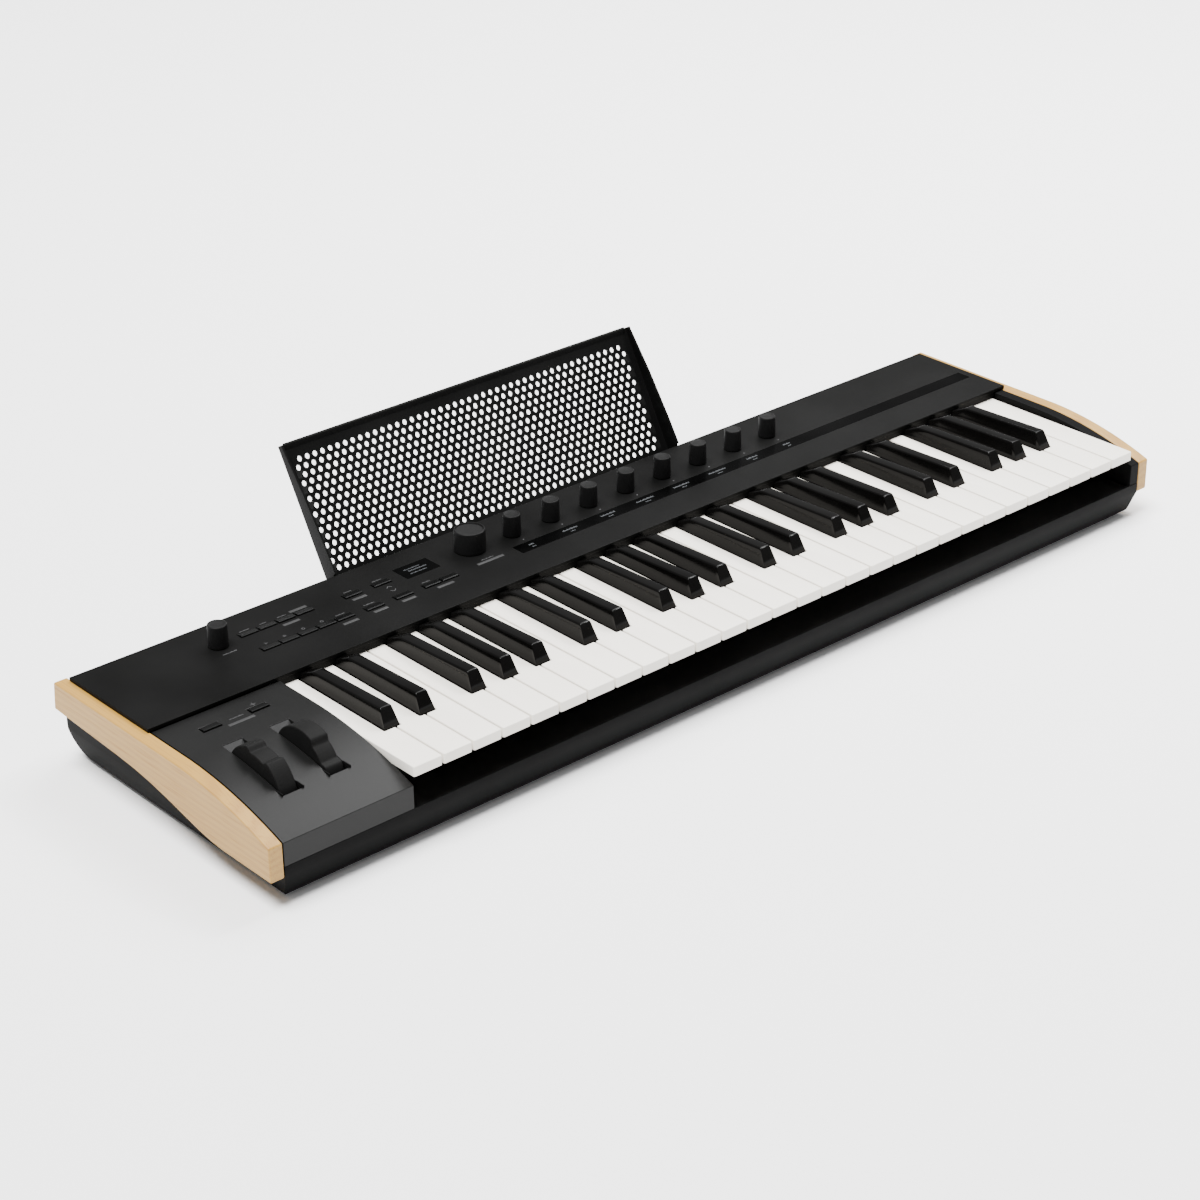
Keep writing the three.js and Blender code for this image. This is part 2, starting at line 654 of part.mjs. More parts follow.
// A turned knob on its shaft, which passes the panel.
function knobBody(diameter) {
  const radius = diameter / 2;
  const bottom = PANEL_TOP + FIT_GAP;
  const top = PANEL_TOP + KNOB_HEIGHT;
  const shaft = SHAFT_DIAMETER / 2;
  const profile = [
    [0, BOARD_TOP + FIT_GAP],
    [shaft, BOARD_TOP + FIT_GAP],
    [shaft, bottom],
    [radius, bottom],
    [radius, top - KNOB_CHAMFER],
    [radius - KNOB_CHAMFER, top],
    [radius - KNOB_RIM, top],
    [radius - KNOB_RIM - KNOB_DISH, top - KNOB_DISH],
    [0, top - KNOB_DISH],
  ].map(([r, z]) => new THREE.Vector2(r, z));
  const geometry = new THREE.LatheGeometry(profile, 24);
  geometry.rotateX(Math.PI / 2);
  return solid(geometry);
}

function addKnobs() {
  for (const { name, x, y, diameter } of KNOBS) {
    addPiece(name, knobBody(diameter), "blackPlastic").position.set(x, y, 0);
  }
}

function displayOutline(gap) {
  const x = DISPLAY.width / 2 - gap;
  const y = DISPLAY.depth / 2 - gap;
  return outline(
    [
      [-x, -y],
      [x, -y],
      [x, y],
      [-x, y],
    ].map(([u, v]) => [DISPLAY.x + u, DISPLAY.y + v]),
  );
}

// The long readout window.
function stripOutline(gap) {
  return outline([
    [STRIP.left + gap, STRIP.front + gap],
    [STRIP.right - gap, STRIP.front + gap],
    [STRIP.right - gap, STRIP.rear - gap],
    [STRIP.left + gap, STRIP.rear - gap],
  ]);
}

function addPanel() {
  const half = CASE_HALF + PANEL_OVERHANG;
  const plate = box(-half, half, PANEL_FRONT_Y, PANEL_REAR_Y, PANEL_BOTTOM, PANEL_TOP);
  const fascia = box(
    KEYS_LEFT - WALL,
    CASE_HALF - RIGHT_BLOCK_WIDTH,
    PANEL_FRONT_Y + FASCIA_SETBACK,
    PANEL_FRONT_Y + FASCIA_SETBACK + FASCIA_THICKNESS,
    KEY_TOP_HEIGHT + FASCIA_GAP,
    PANEL_BOTTOM + MERGE,
  );
  const pocketBottom = PANEL_TOP - WINDOW_THICKNESS;
  const under = PANEL_BOTTOM - MERGE;
  const over = PANEL_TOP + MERGE;
  const shaftHole = SHAFT_DIAMETER / 2 + SHAFT_CLEARANCE;
  const cuts = [
    prismZ(displayOutline(0), pocketBottom, over),
    prismZ(displayOutline(WINDOW_LEDGE), under, PANEL_TOP),
    prismZ(stripOutline(0), pocketBottom, over),
    prismZ(stripOutline(WINDOW_LEDGE), under, PANEL_TOP),
    ...PANEL_BUTTONS.map(({ x, y, width }) => buttonHole(x, y, width, under, over)),
    ...KNOBS.map(({ x, y }) => cylinderZ(shaftHole, x, y, under, over, 16)),
  ];
  addPiece("top_panel", without(plate.add(fascia), cuts), "panel");
  const low = pocketBottom + FIT_GAP;
  addPiece("display_window", prismZ(displayOutline(FIT_GAP), low, PANEL_TOP), "window");
  addPiece("strip_window", prismZ(stripOutline(FIT_GAP), low, PANEL_TOP), "window");
}

// Black keys of an octave: middle of each from the octave's left edge.
const BLACK_CENTRES = [1, 2, 4, 5, 6].map((seam, i) => seam * KEY_PITCH + BLACK_OFFSETS[i]);
// For each white key of the octave: the black key on its left and on its right, if any.
const NEIGHBOURS = [
  [null, 0],
  [0, 1],
  [1, null],
  [null, 2],
  [2, 3],
  [3, 4],
  [4, null],
];

// Left and right edges of a white key between the black keys.
function waist(index, neighbours) {
  const [before, after] = neighbours;
  const side = BLACK_WIDTH / 2 + BLACK_CLEARANCE;
  const left = before === null ? index * KEY_PITCH + KEY_SEAM / 2 : BLACK_CENTRES[before] + side;
  const right =
    after === null ? (index + 1) * KEY_PITCH - KEY_SEAM / 2 : BLACK_CENTRES[after] - side;
  return [left, right];
}

// One white key with its rear arm, which ends at the hinge bar of its comb.
function whiteKey(index, neighbours, hingeY) {
  const left = index * KEY_PITCH + KEY_SEAM / 2;
  const right = (index + 1) * KEY_PITCH - KEY_SEAM / 2;
  const [waistLeft, waistRight] = waist(index, neighbours);
  const notch = HEAD_LENGTH - BLACK_CLEARANCE;
  const rear = KEY_VISIBLE_LENGTH + KEY_TAIL;
  const plan = outline([
    [left, 0],
    [right, 0],
    [right, notch],
    [waistRight, notch],
    [waistRight, rear],
    [waistLeft, rear],
    [waistLeft, notch],
    [left, notch],
  ]);
  const middle = (waistLeft + waistRight) / 2;
  const top = prismZ(plan, KEY_TOP_HEIGHT - KEY_THICKNESS, KEY_TOP_HEIGHT);
  const arm = box(
    middle - ARM_WIDTH / 2,
    middle + ARM_WIDTH / 2,
    rear - ARM_OVERLAP,
    hingeY + HINGE_BAR / 2,
    ARM_BOTTOM,
    ARM_TOP,
  );
  return top.add(arm);
}

// Middle of a white key's arm.
const armX = (index) => {
  const [left, right] = waist(index, NEIGHBOURS[index]);
  return (left + right) / 2;
};

// White keys of one octave joined by a hinge bar; the bar's level keeps it clear of other combs.
function whiteComb(indices, hingeY, barBottom, barTop) {
  const keys = indices.map((i) => whiteKey(i, NEIGHBOURS[i], hingeY));
  const first = armX(indices[0]) - ARM_WIDTH / 2;
  const last = armX(indices[indices.length - 1]) + ARM_WIDTH / 2;
  const y0 = hingeY - HINGE_BAR / 2;
  const y1 = hingeY + HINGE_BAR / 2;
  const bar = box(first, last, y0, y1, barBottom, barTop);
  const posts = indices.map((i) =>
    box(
      armX(i) - ARM_WIDTH / 2,
      armX(i) + ARM_WIDTH / 2,
      y0,
      y1,
      Math.min(barBottom, ARM_BOTTOM),
      Math.max(barTop, ARM_TOP),
    ),
  );
  return joined([...keys, bar, ...posts]);
}

// One black key: a cap with sloping sides and a slanted front, on an arm to the hinge bar.
function blackKey(centre) {
  const front = HEAD_LENGTH;
  const rear = KEY_VISIBLE_LENGTH - BLACK_TAIL_CLEARANCE;
  const low = KEY_TOP_HEIGHT - KEY_THICKNESS;
  const side = outline([
    [front, low],
    [rear, low],
    [rear, KEY_TOP_HEIGHT + BLACK_TAIL.height],
    [rear - BLACK_TAIL.length, KEY_TOP_HEIGHT + BLACK_REAR_HEIGHT],
    [front + BLACK_CREST, KEY_TOP_HEIGHT + BLACK_HEIGHT],
    [front + BLACK_NOSE_LENGTH, KEY_TOP_HEIGHT + BLACK_HEIGHT - BLACK_NOSE_DROP],
    [front, KEY_TOP_HEIGHT],
  ]);
  const section = outline([
    [centre - BLACK_WIDTH / 2, low],
    [centre + BLACK_WIDTH / 2, low],
    [centre + BLACK_WIDTH / 2, KEY_TOP_HEIGHT],
    [centre + BLACK_TOP_WIDTH / 2, KEY_TOP_HEIGHT + BLACK_HEIGHT],
    [centre - BLACK_TOP_WIDTH / 2, KEY_TOP_HEIGHT + BLACK_HEIGHT],
    [centre - BLACK_WIDTH / 2, KEY_TOP_HEIGHT],
  ]);
  const half = BLACK_WIDTH / 2;
  const cap = prismX(side, centre - half, centre + half).intersect(prismY(section, front, rear));
  const arm = box(
    centre - BLACK_ARM_WIDTH / 2,
    centre + BLACK_ARM_WIDTH / 2,
    rear - ARM_OVERLAP,
    BLACK_HINGE_Y + HINGE_BAR / 2,
    ARM_BOTTOM,
    ARM_TOP,
  );
  return cap.add(arm);
}

function blackComb() {
  const y0 = BLACK_HINGE_Y - HINGE_BAR / 2;
  const y1 = BLACK_HINGE_Y + HINGE_BAR / 2;
  const top = ARM_TOP + BAR_CLEARANCE + BAR_HEIGHT;
  const half = BLACK_ARM_WIDTH / 2;
  const last = BLACK_CENTRES[BLACK_CENTRES.length - 1];
  const bar = box(BLACK_CENTRES[0] - half, last + half, y0, y1, top - BAR_HEIGHT, top);
  const posts = BLACK_CENTRES.map((x) => box(x - half, x + half, y0, y1, ARM_BOTTOM, top));
  return joined([...BLACK_CENTRES.map(blackKey), bar, ...posts]);
}

function addKeys() {
  const lowBar = ARM_BOTTOM - BAR_CLEARANCE;
  for (let octave = 0; octave < OCTAVES; octave += 1) {
    const group = new THREE.Group();
    group.position.x = KEYS_LEFT + octave * OCTAVE;
    model.add(group);
    const number = octave + 1;
    const outerComb = whiteComb([0, 2, 4, 6], CEGB_HINGE_Y, ARM_BOTTOM, ARM_TOP);
    addPiece(`white_keys_cegb_${number}`, outerComb, "whiteKey", group);
    const innerComb = whiteComb([1, 3, 5], DFA_HINGE_Y, lowBar - BAR_HEIGHT, lowBar);
    addPiece(`white_keys_dfa_${number}`, innerComb, "whiteKey", group);
    addPiece(`black_keys_${number}`, blackComb(), "blackKey", group);
  }
  const last = addPiece("white_key_top_c", whiteKey(0, [null, null], CEGB_HINGE_Y), "whiteKey");
  last.position.x = KEYS_LEFT + OCTAVES * OCTAVE;
}

// Frame under the keys: a floor, a front wall, and a stepped rail under the three hinge bars.
function addKeyFrame() {
  const left = KEYS_LEFT + FRAME_INSET;
  const right = KEYS_RIGHT - FRAME_INSET;
  const front = RECESS_DEPTH + FIT_GAP;
  const wallTop = KEY_TOP_HEIGHT - FRAME_WALL_DROP;
  const floorTop = FRAME_BOTTOM + WALL;
  const half = HINGE_BAR / 2 + RAIL_MARGIN;
  const passing = ARM_BOTTOM - BAR_CLEARANCE;
  const upperSeat = ARM_BOTTOM - RAIL_CLEARANCE;
  const lowerSeat = passing - BAR_HEIGHT - RAIL_CLEARANCE;
  const rail = outline([
    [front, FRAME_BOTTOM],
    [CEGB_HINGE_Y + half + WALL, FRAME_BOTTOM],
    [CEGB_HINGE_Y + half + WALL, ARM_TOP],
    [CEGB_HINGE_Y + half, ARM_TOP],
    [CEGB_HINGE_Y + half, upperSeat],
    [CEGB_HINGE_Y - half, upperSeat],
    [CEGB_HINGE_Y - half, lowerSeat],
    [BLACK_HINGE_Y + half, lowerSeat],
    [BLACK_HINGE_Y + half, passing],
    [BLACK_HINGE_Y - half, passing],
    [BLACK_HINGE_Y - half, floorTop],
    [front + WALL, floorTop],
    [front + WALL, wallTop],
    [front, wallTop],
  ]);
  addPiece("key_frame", prismX(rail, left, right), "steel");
  addContactBoard(left, right, floorTop + FIT_GAP);
}

// The board that senses the keys stands on two long legs.
function addContactBoard(frameLeft, frameRight, low) {
  const { front, rear, inset, lift, legDepth, legInset, merge } = CONTACT_BOARD;
  const left = frameLeft + inset;
  const right = frameRight - inset;
  const legTop = low + lift + merge;
  const legRear = rear - legInset;
  const board = joined([
    box(left, right, front, rear, low + lift, low + lift + BOARD_THICKNESS),
    box(left, right, front + legInset, front + legInset + legDepth, low, legTop),
    box(left, right, legRear - legDepth, legRear, low, legTop),
  ]);
  addPiece("key_contact_board", board, "board");
}

// Circuit board under the panel on three posts, with a round control body at each knob.
function addMainBoard() {
  const sizes = MAIN_BOARD;
  const left = VOLUME_X - sizes.left;
  const right = FIRST_KNOB_X + (KNOB_COUNT - 1) * KNOB_PITCH + sizes.right;
  const rear = PANEL_REAR_Y - sizes.rear;
  const front = FRONT_ROW_Y - sizes.front;
  const top = PANEL_BOTTOM - FIT_GAP;
  const rooted = BOARD_TOP - MERGE;
  const plate = box(left, right, front, rear, BOARD_TOP - BOARD_THICKNESS, BOARD_TOP);
  const half = sizes.post / 2;
  const posts = [left + sizes.postInset, DIAL_X + sizes.postAtDial, right - sizes.postInset].map((x) =>
    box(x - half, x + half, rear - sizes.post, rear, rooted, top),
  );
  const bodies = KNOBS.map(({ x, y }) => cylinderZ(CONTROL_BODY_RADIUS, x, y, rooted, top, 12));
  const bores = KNOBS.map(({ x, y }) =>
    cylinderZ(SHAFT_DIAMETER / 2 + SHAFT_CLEARANCE, x, y, BOARD_TOP, top + MERGE, 16),
  );
  addPiece("main_board", without(joined([plate, ...posts, ...bodies]), bores), "board");
}

// Rear sockets on their own board: round jack sockets and one flat port.
function addJackBoard() {
  const { depth, margin, legWidth, legDepth, setback, merge } = JACK_BOARD;
  const face = CASE_DEPTH - WALL - FIT_GAP;
  const open = face + MERGE;
  const low = JACK_HEIGHT - SOCKET_BODY.below;
  const high = JACK_HEIGHT + SOCKET_BODY.above;
  const last = jackX(JACK_COUNT);
  const left = FIRST_JACK_X - margin;
  const right = last + margin;
  const rear = face - setback;
  const front = rear - depth;
  const floor = FOOT_HEIGHT + WALL + FIT_GAP;
  const underside = low - BOARD_THICKNESS;
  const plate = box(left, right, front, rear, underside, low + merge);
  const legs = [left, right - legWidth].map((x) =>
    box(x, x + legWidth, front, front + legDepth, floor, underside + merge),
  );
  const half = SOCKET_BODY.width / 2;
  const sockets = Array.from({ length: JACK_COUNT }, (_, i) =>
    box(jackX(i) - half, jackX(i) + half, face - SOCKET_LENGTH, face, low, high),
  );
  const boreStart = face - SOCKET_LENGTH + SOCKET_BODY.end;
  const bores = Array.from({ length: JACK_COUNT }, (_, i) =>
    cylinderY(JACK_BORE / 2, jackX(i), JACK_HEIGHT, boreStart, open),
  );
  const portHalf = PORT_WIDTH / 2;
  const portLow = JACK_HEIGHT - PORT_HEIGHT / 2;
  const portTop = JACK_HEIGHT + PORT_HEIGHT / 2;
  const port = box(
    last - portHalf - SOCKET_WALL,
    last + portHalf + SOCKET_WALL,
    face - PORT_BODY.length,
    face,
    low,
    portTop + SOCKET_WALL,
  );
  const mouth = box(last - portHalf, last + portHalf, face - PORT_BODY.bore, open, portLow, portTop);
  const board = without(joined([plate, port, ...legs, ...sockets]), [mouth, ...bores]);
  addPiece("jack_board", board, "board");
}

// A control wheel about its own axle, with a finger scoop cut into the rim.
function wheelBody(scoopAngle) {
  const half = WHEEL_WIDTH / 2;
  const past = half + MERGE;
  const rim = cylinderX(WHEEL_RADIUS, 0, 0, -half, half, 48);
  const bore = cylinderX(AXLE_RADIUS + AXLE_CLEARANCE, 0, 0, -past, past, 24);
  const reach = WHEEL_RADIUS + SCOOP_RADIUS - SCOOP_DEPTH;
  const y = -reach * Math.sin(scoopAngle);
  const z = reach * Math.cos(scoopAngle);
  return without(rim, [bore, cylinderX(SCOOP_RADIUS, y, z, -past, past, 32)]);
}

function addWheels() {
  const pitch = addPiece("pitch_wheel", wheelBody(PITCH_SCOOP_ANGLE), "blackPlastic");
  pitch.position.set(PITCH_WHEEL_X, WHEEL_Y, WHEEL_HEIGHT);
  const mod = addPiece("mod_wheel", wheelBody(MOD_SCOOP_ANGLE), "blackPlastic");
  mod.position.set(MOD_WHEEL_X, WHEEL_Y, WHEEL_HEIGHT);
  const floor = FOOT_HEIGHT + WALL + FIT_GAP;
  const left = PITCH_WHEEL_X - WHEEL_WIDTH / 2 - BRACKET.reach;
  const right = MOD_WHEEL_X + WHEEL_WIDTH / 2 + BRACKET.reach;
  const middle = (PITCH_WHEEL_X + MOD_WHEEL_X) / 2;
  const front = WHEEL_Y - BRACKET.depth / 2;
  const rear = WHEEL_Y + BRACKET.depth / 2;
  const half = BRACKET.plate / 2;
  const plates = [left + half, middle, right - half].map((x) =>
    box(x - half, x + half, front, rear, floor, WHEEL_HEIGHT + BRACKET.height),
  );
  const baseFront = WHEEL_Y - BRACKET.base / 2;
  const base = box(left, right, baseFront, baseFront + BRACKET.base, floor, floor + BRACKET.plate);
  const axle = cylinderX(AXLE_RADIUS, WHEEL_Y, WHEEL_HEIGHT, left, right, 24);
  addPiece("wheel_bracket", joined([base, axle, ...plates]), "steel");
}

// Side view of a folded side of the stand. Its foot goes down behind the panel's rear edge.
function flangeOutline() {
  const room = (along) =>
    (STAND_Y - PANEL_REAR_Y - PANEL_CLEARANCE + along * Math.sin(STAND_LEAN)) / Math.cos(STAND_LEAN);
  return outline([
    [STAND_SHEET, STAND_FLANGE_END_Z],
    [-room(STAND_FLANGE_END_Z), STAND_FLANGE_END_Z],
    [-room(STAND_FLANGE_STEP_Z), STAND_FLANGE_STEP_Z],
    [-STAND_FLANGE_BOTTOM, STAND_FLANGE_STEP_Z],
    [-STAND_FLANGE_LOW, STAND_FLANGE_LOW_Z],
    [-STAND_FLANGE_MIDDLE, STAND_FLANGE_MIDDLE_Z],
    [-STAND_FLANGE_TOP, STAND_TOP],
    [STAND_SHEET, STAND_TOP],
  ]);
}

// The music stand in its own leaning frame: X across, Y through the sheet, Z up along it.
function addStand() {
  const half = STAND_WIDTH / 2;
  const lipHalf = half - STAND_SHEET - STAND_RELIEF;
  const lipBottom = STAND_TOP - STAND_TOP_LIP;
  const sheet = box(-half, half, 0, STAND_SHEET, STAND_BOTTOM, STAND_TOP);
  const flanges = [
    prismX(flangeOutline(), -half, -half + STAND_SHEET),
    prismX(flangeOutline(), half - STAND_SHEET, half),
  ];
  const lipSide = outline([
    [0, lipBottom],
    [STAND_SHEET, lipBottom],
    [STAND_SHEET - STAND_LIP_REACH, STAND_TOP + STAND_LIP_RISE],
    [-STAND_LIP_REACH, STAND_TOP],
  ]);
  const lip = prismX(lipSide, -lipHalf, lipHalf);
  const tabs = [-1, 1].map((side) => {
    const x = (side * TAB_SPACING) / 2;
    const tabHalf = TAB_WIDTH / 2;
    const low = STAND_BOTTOM - TAB_LENGTH;
    return box(x - tabHalf, x + tabHalf, 0, STAND_SHEET, low, STAND_BOTTOM + MERGE);
  });
  const gap = box(
    -lipHalf,
    lipHalf,
    -MERGE,
    STAND_SHEET + MERGE,
    lipBottom + MERGE,
    STAND_TOP + MERGE,
  );
  const body = joined([sheet.subtract(gap), lip, ...flanges, ...tabs]);
  addPiece("music_stand", body, "standMetal").applyMatrix4(standPlacement().matrix);
}

addCase();
addFeet();
addCheeks();
addWheelPanel();
addRightBlock();
addPanel();
addButtons();
addKnobs();
addKeys();
addKeyFrame();
addMainBoard();
addJackBoard();
addWheels();
addStand();

// The deepest point is the stand's top edge at the back of its sheet.
const REACH =
  STAND_Y + STAND_TOP * Math.sin(STAND_LEAN) + STAND_SHEET * Math.cos(STAND_LEAN);
model.position.y = -REACH / 2;

export default model;
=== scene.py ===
import json
import math

import bmesh
import bpy
import numpy as np
from mathutils import Matrix, Vector

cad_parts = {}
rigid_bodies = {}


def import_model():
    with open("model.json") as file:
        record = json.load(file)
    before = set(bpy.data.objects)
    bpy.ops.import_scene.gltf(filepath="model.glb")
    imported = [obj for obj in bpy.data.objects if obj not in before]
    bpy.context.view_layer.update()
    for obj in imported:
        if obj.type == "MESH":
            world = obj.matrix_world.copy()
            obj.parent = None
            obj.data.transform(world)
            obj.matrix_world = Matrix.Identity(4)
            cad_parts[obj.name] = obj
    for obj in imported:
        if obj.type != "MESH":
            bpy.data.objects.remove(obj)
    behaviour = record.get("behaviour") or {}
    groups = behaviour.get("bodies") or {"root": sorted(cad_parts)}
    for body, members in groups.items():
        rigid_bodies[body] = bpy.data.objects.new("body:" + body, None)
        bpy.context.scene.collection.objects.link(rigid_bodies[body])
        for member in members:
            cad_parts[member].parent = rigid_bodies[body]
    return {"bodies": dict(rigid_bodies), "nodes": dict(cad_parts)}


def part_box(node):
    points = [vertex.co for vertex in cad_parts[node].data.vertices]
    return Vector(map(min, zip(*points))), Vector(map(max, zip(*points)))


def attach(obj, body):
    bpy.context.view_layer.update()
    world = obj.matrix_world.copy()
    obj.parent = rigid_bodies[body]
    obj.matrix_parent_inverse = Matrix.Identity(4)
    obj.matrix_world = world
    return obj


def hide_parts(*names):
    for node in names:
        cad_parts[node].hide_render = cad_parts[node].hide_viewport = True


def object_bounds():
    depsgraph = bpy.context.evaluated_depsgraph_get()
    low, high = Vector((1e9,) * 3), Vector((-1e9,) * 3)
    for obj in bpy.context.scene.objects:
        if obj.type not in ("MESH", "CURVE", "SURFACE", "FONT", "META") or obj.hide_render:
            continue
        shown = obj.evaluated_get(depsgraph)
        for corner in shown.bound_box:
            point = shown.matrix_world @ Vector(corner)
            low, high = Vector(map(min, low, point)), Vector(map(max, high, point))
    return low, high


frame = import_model()
cadBox = [list(corner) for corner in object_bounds()]
mm = 0.001

# Lengths below are millimetres from the low end of the keys, at their front edge and top surface.
cadKeyGap = 1.0
lowKeys = [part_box(f"white_keys_cegb_{n}") for n in (1, 2)]
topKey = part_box("white_key_top_c")
keyOrigin = np.array([lowKeys[0][0][0] - cadKeyGap / 2 * mm, topKey[0][1], topKey[1][2]])
octaves = 4
octaveSpan = (lowKeys[1][0][0] - lowKeys[0][0][0]) / mm


def localBox(node):
    # A node's box: its corners less the keyboard's origin, in millimetres.
    low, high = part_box(node)
    return (np.array(low) - keyOrigin) / mm, (np.array(high) - keyOrigin) / mm


def planMiddle(node):
    # Half the sum of a node's low and high corners, seen from above.
    low, high = localBox(node)
    return (low[:2] + high[:2]) / 2


panelLow, panelHigh = localBox("top_panel")
panelTop = panelHigh[2]
coverTop = localBox("wheel_panel")[1][2]
caseLow, caseHigh = localBox("bottom_case")

meshFinish = {
    "merge": 1e-6, "smooth": 32, "wideSmooth": 40,  # metres, degrees
    "cadMerge": 2e-6, "cadFlat": 1.0, "cadSharp": 35, "segments": 3, "normalWeight": 100,
}
quarterTurn = np.linspace(0, math.pi / 2, 6)


def gather(parts):
    # Several (points, faces) shapes as one, the face numbers moved on by the points before them.
    points, faces, start = [], [], 0
    for shapePoints, shapeFaces in parts:
        points.append(np.asarray(shapePoints, float))
        faces += [[start + i for i in face] for face in shapeFaces]
        start += len(shapePoints)
    return np.vstack(points), faces


def finishPiece(piece, body, material, replaced=()):
    # Material, body and the CAD nodes that a piece stands for.
    piece.data.materials.clear()
    piece.data.materials.append(material)
    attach(piece, body)
    if replaced:
        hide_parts(*replaced)


def linkPiece(name, mesh, smoothAngle):
    # An object at the origin whose edges stay sharp where its faces meet at more than the angle.
    mesh.shade_smooth()
    mesh.set_sharp_from_angle(angle=math.radians(smoothAngle))
    piece = bpy.data.objects.new(name, mesh)
    bpy.context.collection.objects.link(piece)
    return piece


def meshPiece(name, shape, smoothAngle=meshFinish["smooth"]):
    # Points are carried from the keyboard's millimetres to metres: origin + point / 1000.
    points, faces = shape
    mesh = bpy.data.meshes.new(name)
    mesh.from_pydata((keyOrigin + np.asarray(points) * mm).tolist(), [], faces)
    work = bmesh.new()
    work.from_mesh(mesh)
    bmesh.ops.remove_doubles(work, verts=work.verts, dist=meshFinish["merge"])
    bmesh.ops.recalc_face_normals(work, faces=work.faces)
    work.to_mesh(mesh)
    work.free()
    return linkPiece(name, mesh, smoothAngle)


def ringFaces(rings, count, closedUp=False):
    # Quads between neighbouring rings of equally many points; the ends are capped unless the
    # stack closes on itself.
    index = np.arange(rings * count).reshape(rings, count)
    upper = np.roll(index, -1, axis=0) if closedUp else index[1:]
    lower = index if closedUp else index[:-1]
    quads = np.stack([lower, np.roll(lower, -1, 1), np.roll(upper, -1, 1), upper], -1)
    faces = quads.reshape(-1, 4).tolist()
    if not closedUp:
        faces += [index[0][::-1].tolist(), index[-1].tolist()]
    return faces


def roundOutline(corners, radii, steps=5):
    # Each corner becomes an arc of its radius, tangent to both of its sides. The arc's middle lies
    # on the bisector at radius / sin(half the corner), and its ends at radius / tan of that half.
    nearlyStraight = 1.5
    corners = np.asarray(corners, float)
    before = np.roll(corners, 1, 0) - corners
    after = np.roll(corners, -1, 0) - corners
    out = []
    for corner, a, b, radius in zip(corners, before, after, radii):
        a = a / np.linalg.norm(a)
        b = b / np.linalg.norm(b)
        half = math.acos(np.clip(a @ b, -1, 1)) / 2
        if radius <= 0 or half > nearlyStraight:
            out.append(corner[None])
            continue
        middle = corner + (a + b) / np.linalg.norm(a + b) * radius / math.sin(half)
        start = corner + a * radius / math.tan(half) - middle
        end = corner + b * radius / math.tan(half) - middle
        t = np.linspace(0, 1, steps)[:, None]
        sweep = math.pi - 2 * half
        arc = (np.sin((1 - t) * sweep) * start + np.sin(t * sweep) * end) / math.sin(sweep)
        out.append(middle + arc)
    return np.vstack(out)


def shrink(outline, distance):
    # Every point moves in along the mitre of its two sides, for an outline drawn anticlockwise.
    side = np.roll(outline, -1, 0) - outline
    normal = np.stack([-side[:, 1], side[:, 0]], 1) / np.linalg.norm(side, axis=1)[:, None]
    last = np.roll(normal, 1, 0)
    mitre = (normal + last) / (1 + np.sum(normal * last, 1))[:, None]
    return outline + mitre * distance


def levelRing(outline, height):
    # A plan outline as points at one height.
    return np.column_stack([outline, np.full(len(outline), height)])


def roundedPrism(outline, low, high, fillet, foot=0.25, steps=5):
    # The outline carried up, with a small chamfer below and a quarter round above: inset
    # fillet * (1 - cos t) at height high - fillet + fillet * sin t.
    t = np.linspace(0, math.pi / 2, steps)
    insets = np.concatenate([[foot, 0], fillet * (1 - np.cos(t))])
    heights = np.concatenate([[low, low + foot], high - fillet + fillet * np.sin(t)])
    rings = [levelRing(shrink(outline, inset), z) for inset, z in zip(insets, heights)]
    return np.vstack(rings), ringFaces(len(rings), len(outline))


def block(x0, x1, y0, y1, z0, z1, edge=0.0):
    # A box whose upright corners and top edges are rounded by about the same small radius.
    corners = [(x0, y0), (x1, y0), (x1, y1), (x0, y1)]
    if edge <= 0:
        return np.vstack([levelRing(corners, z) for z in (z0, z1)]), ringFaces(2, 4)
    topRound, footChamfer, steps = edge * 0.8, edge * 0.3, 4
    outline = roundOutline(corners, [edge] * 4, steps)
    return roundedPrism(outline, z0, z1, topRound, footChamfer, steps)


def turned(profile, x, y, count):
    # A profile of (radius, height) turned about an upright axis; it starts and ends on the axis.
    axisRadius = 1e-4
    profile = np.asarray(profile, float)
    angle = np.linspace(0, 2 * math.pi, count, endpoint=False)
    radius = np.maximum(profile[:, 0], axisRadius)[:, None]
    grid = np.stack([x + radius * np.cos(angle), y + radius * np.sin(angle),
                     np.repeat(profile[:, 1][:, None], count, 1)], -1)
    return grid.reshape(-1, 3), ringFaces(len(profile), count)


def edgeMiddle(edge):
    # Half the sum of an edge's ends, in the keyboard's millimetres.
    return (np.array((edge.verts[0].co + edge.verts[1].co) / 2) - keyOrigin) / mm


def softCopy(node, name, edges):
    # A copy of a CAD shell with merged faces, whose sharp edges are rounded in passes:
    # each pass is (radius, test of an edge's middle in local millimetres).
    mesh = frame["nodes"][node].data.copy()
    work = bmesh.new()
    work.from_mesh(mesh)
    bmesh.ops.remove_doubles(work, verts=work.verts, dist=meshFinish["cadMerge"])
    bmesh.ops.dissolve_limit(work, angle_limit=math.radians(meshFinish["cadFlat"]),
                             verts=work.verts, edges=work.edges)
    sharp = math.radians(meshFinish["cadSharp"])
    for radius, test in edges:
        chosen = [edge for edge in work.edges
                  if len(edge.link_faces) == 2 and edge.calc_face_angle(0) >= sharp
                  and test(*edgeMiddle(edge)) and edge.is_convex]
        bmesh.ops.bevel(work, geom=chosen, offset=radius * mm, segments=meshFinish["segments"],
                        profile=0.5, affect="EDGES", clamp_overlap=True)
    work.to_mesh(mesh)
    work.free()
    piece = linkPiece(name, mesh, meshFinish["smooth"])
    even = piece.modifiers.new("evenShading", "WEIGHTED_NORMAL")
    even.weight = meshFinish["normalWeight"]
    even.keep_sharp = True
    return piece


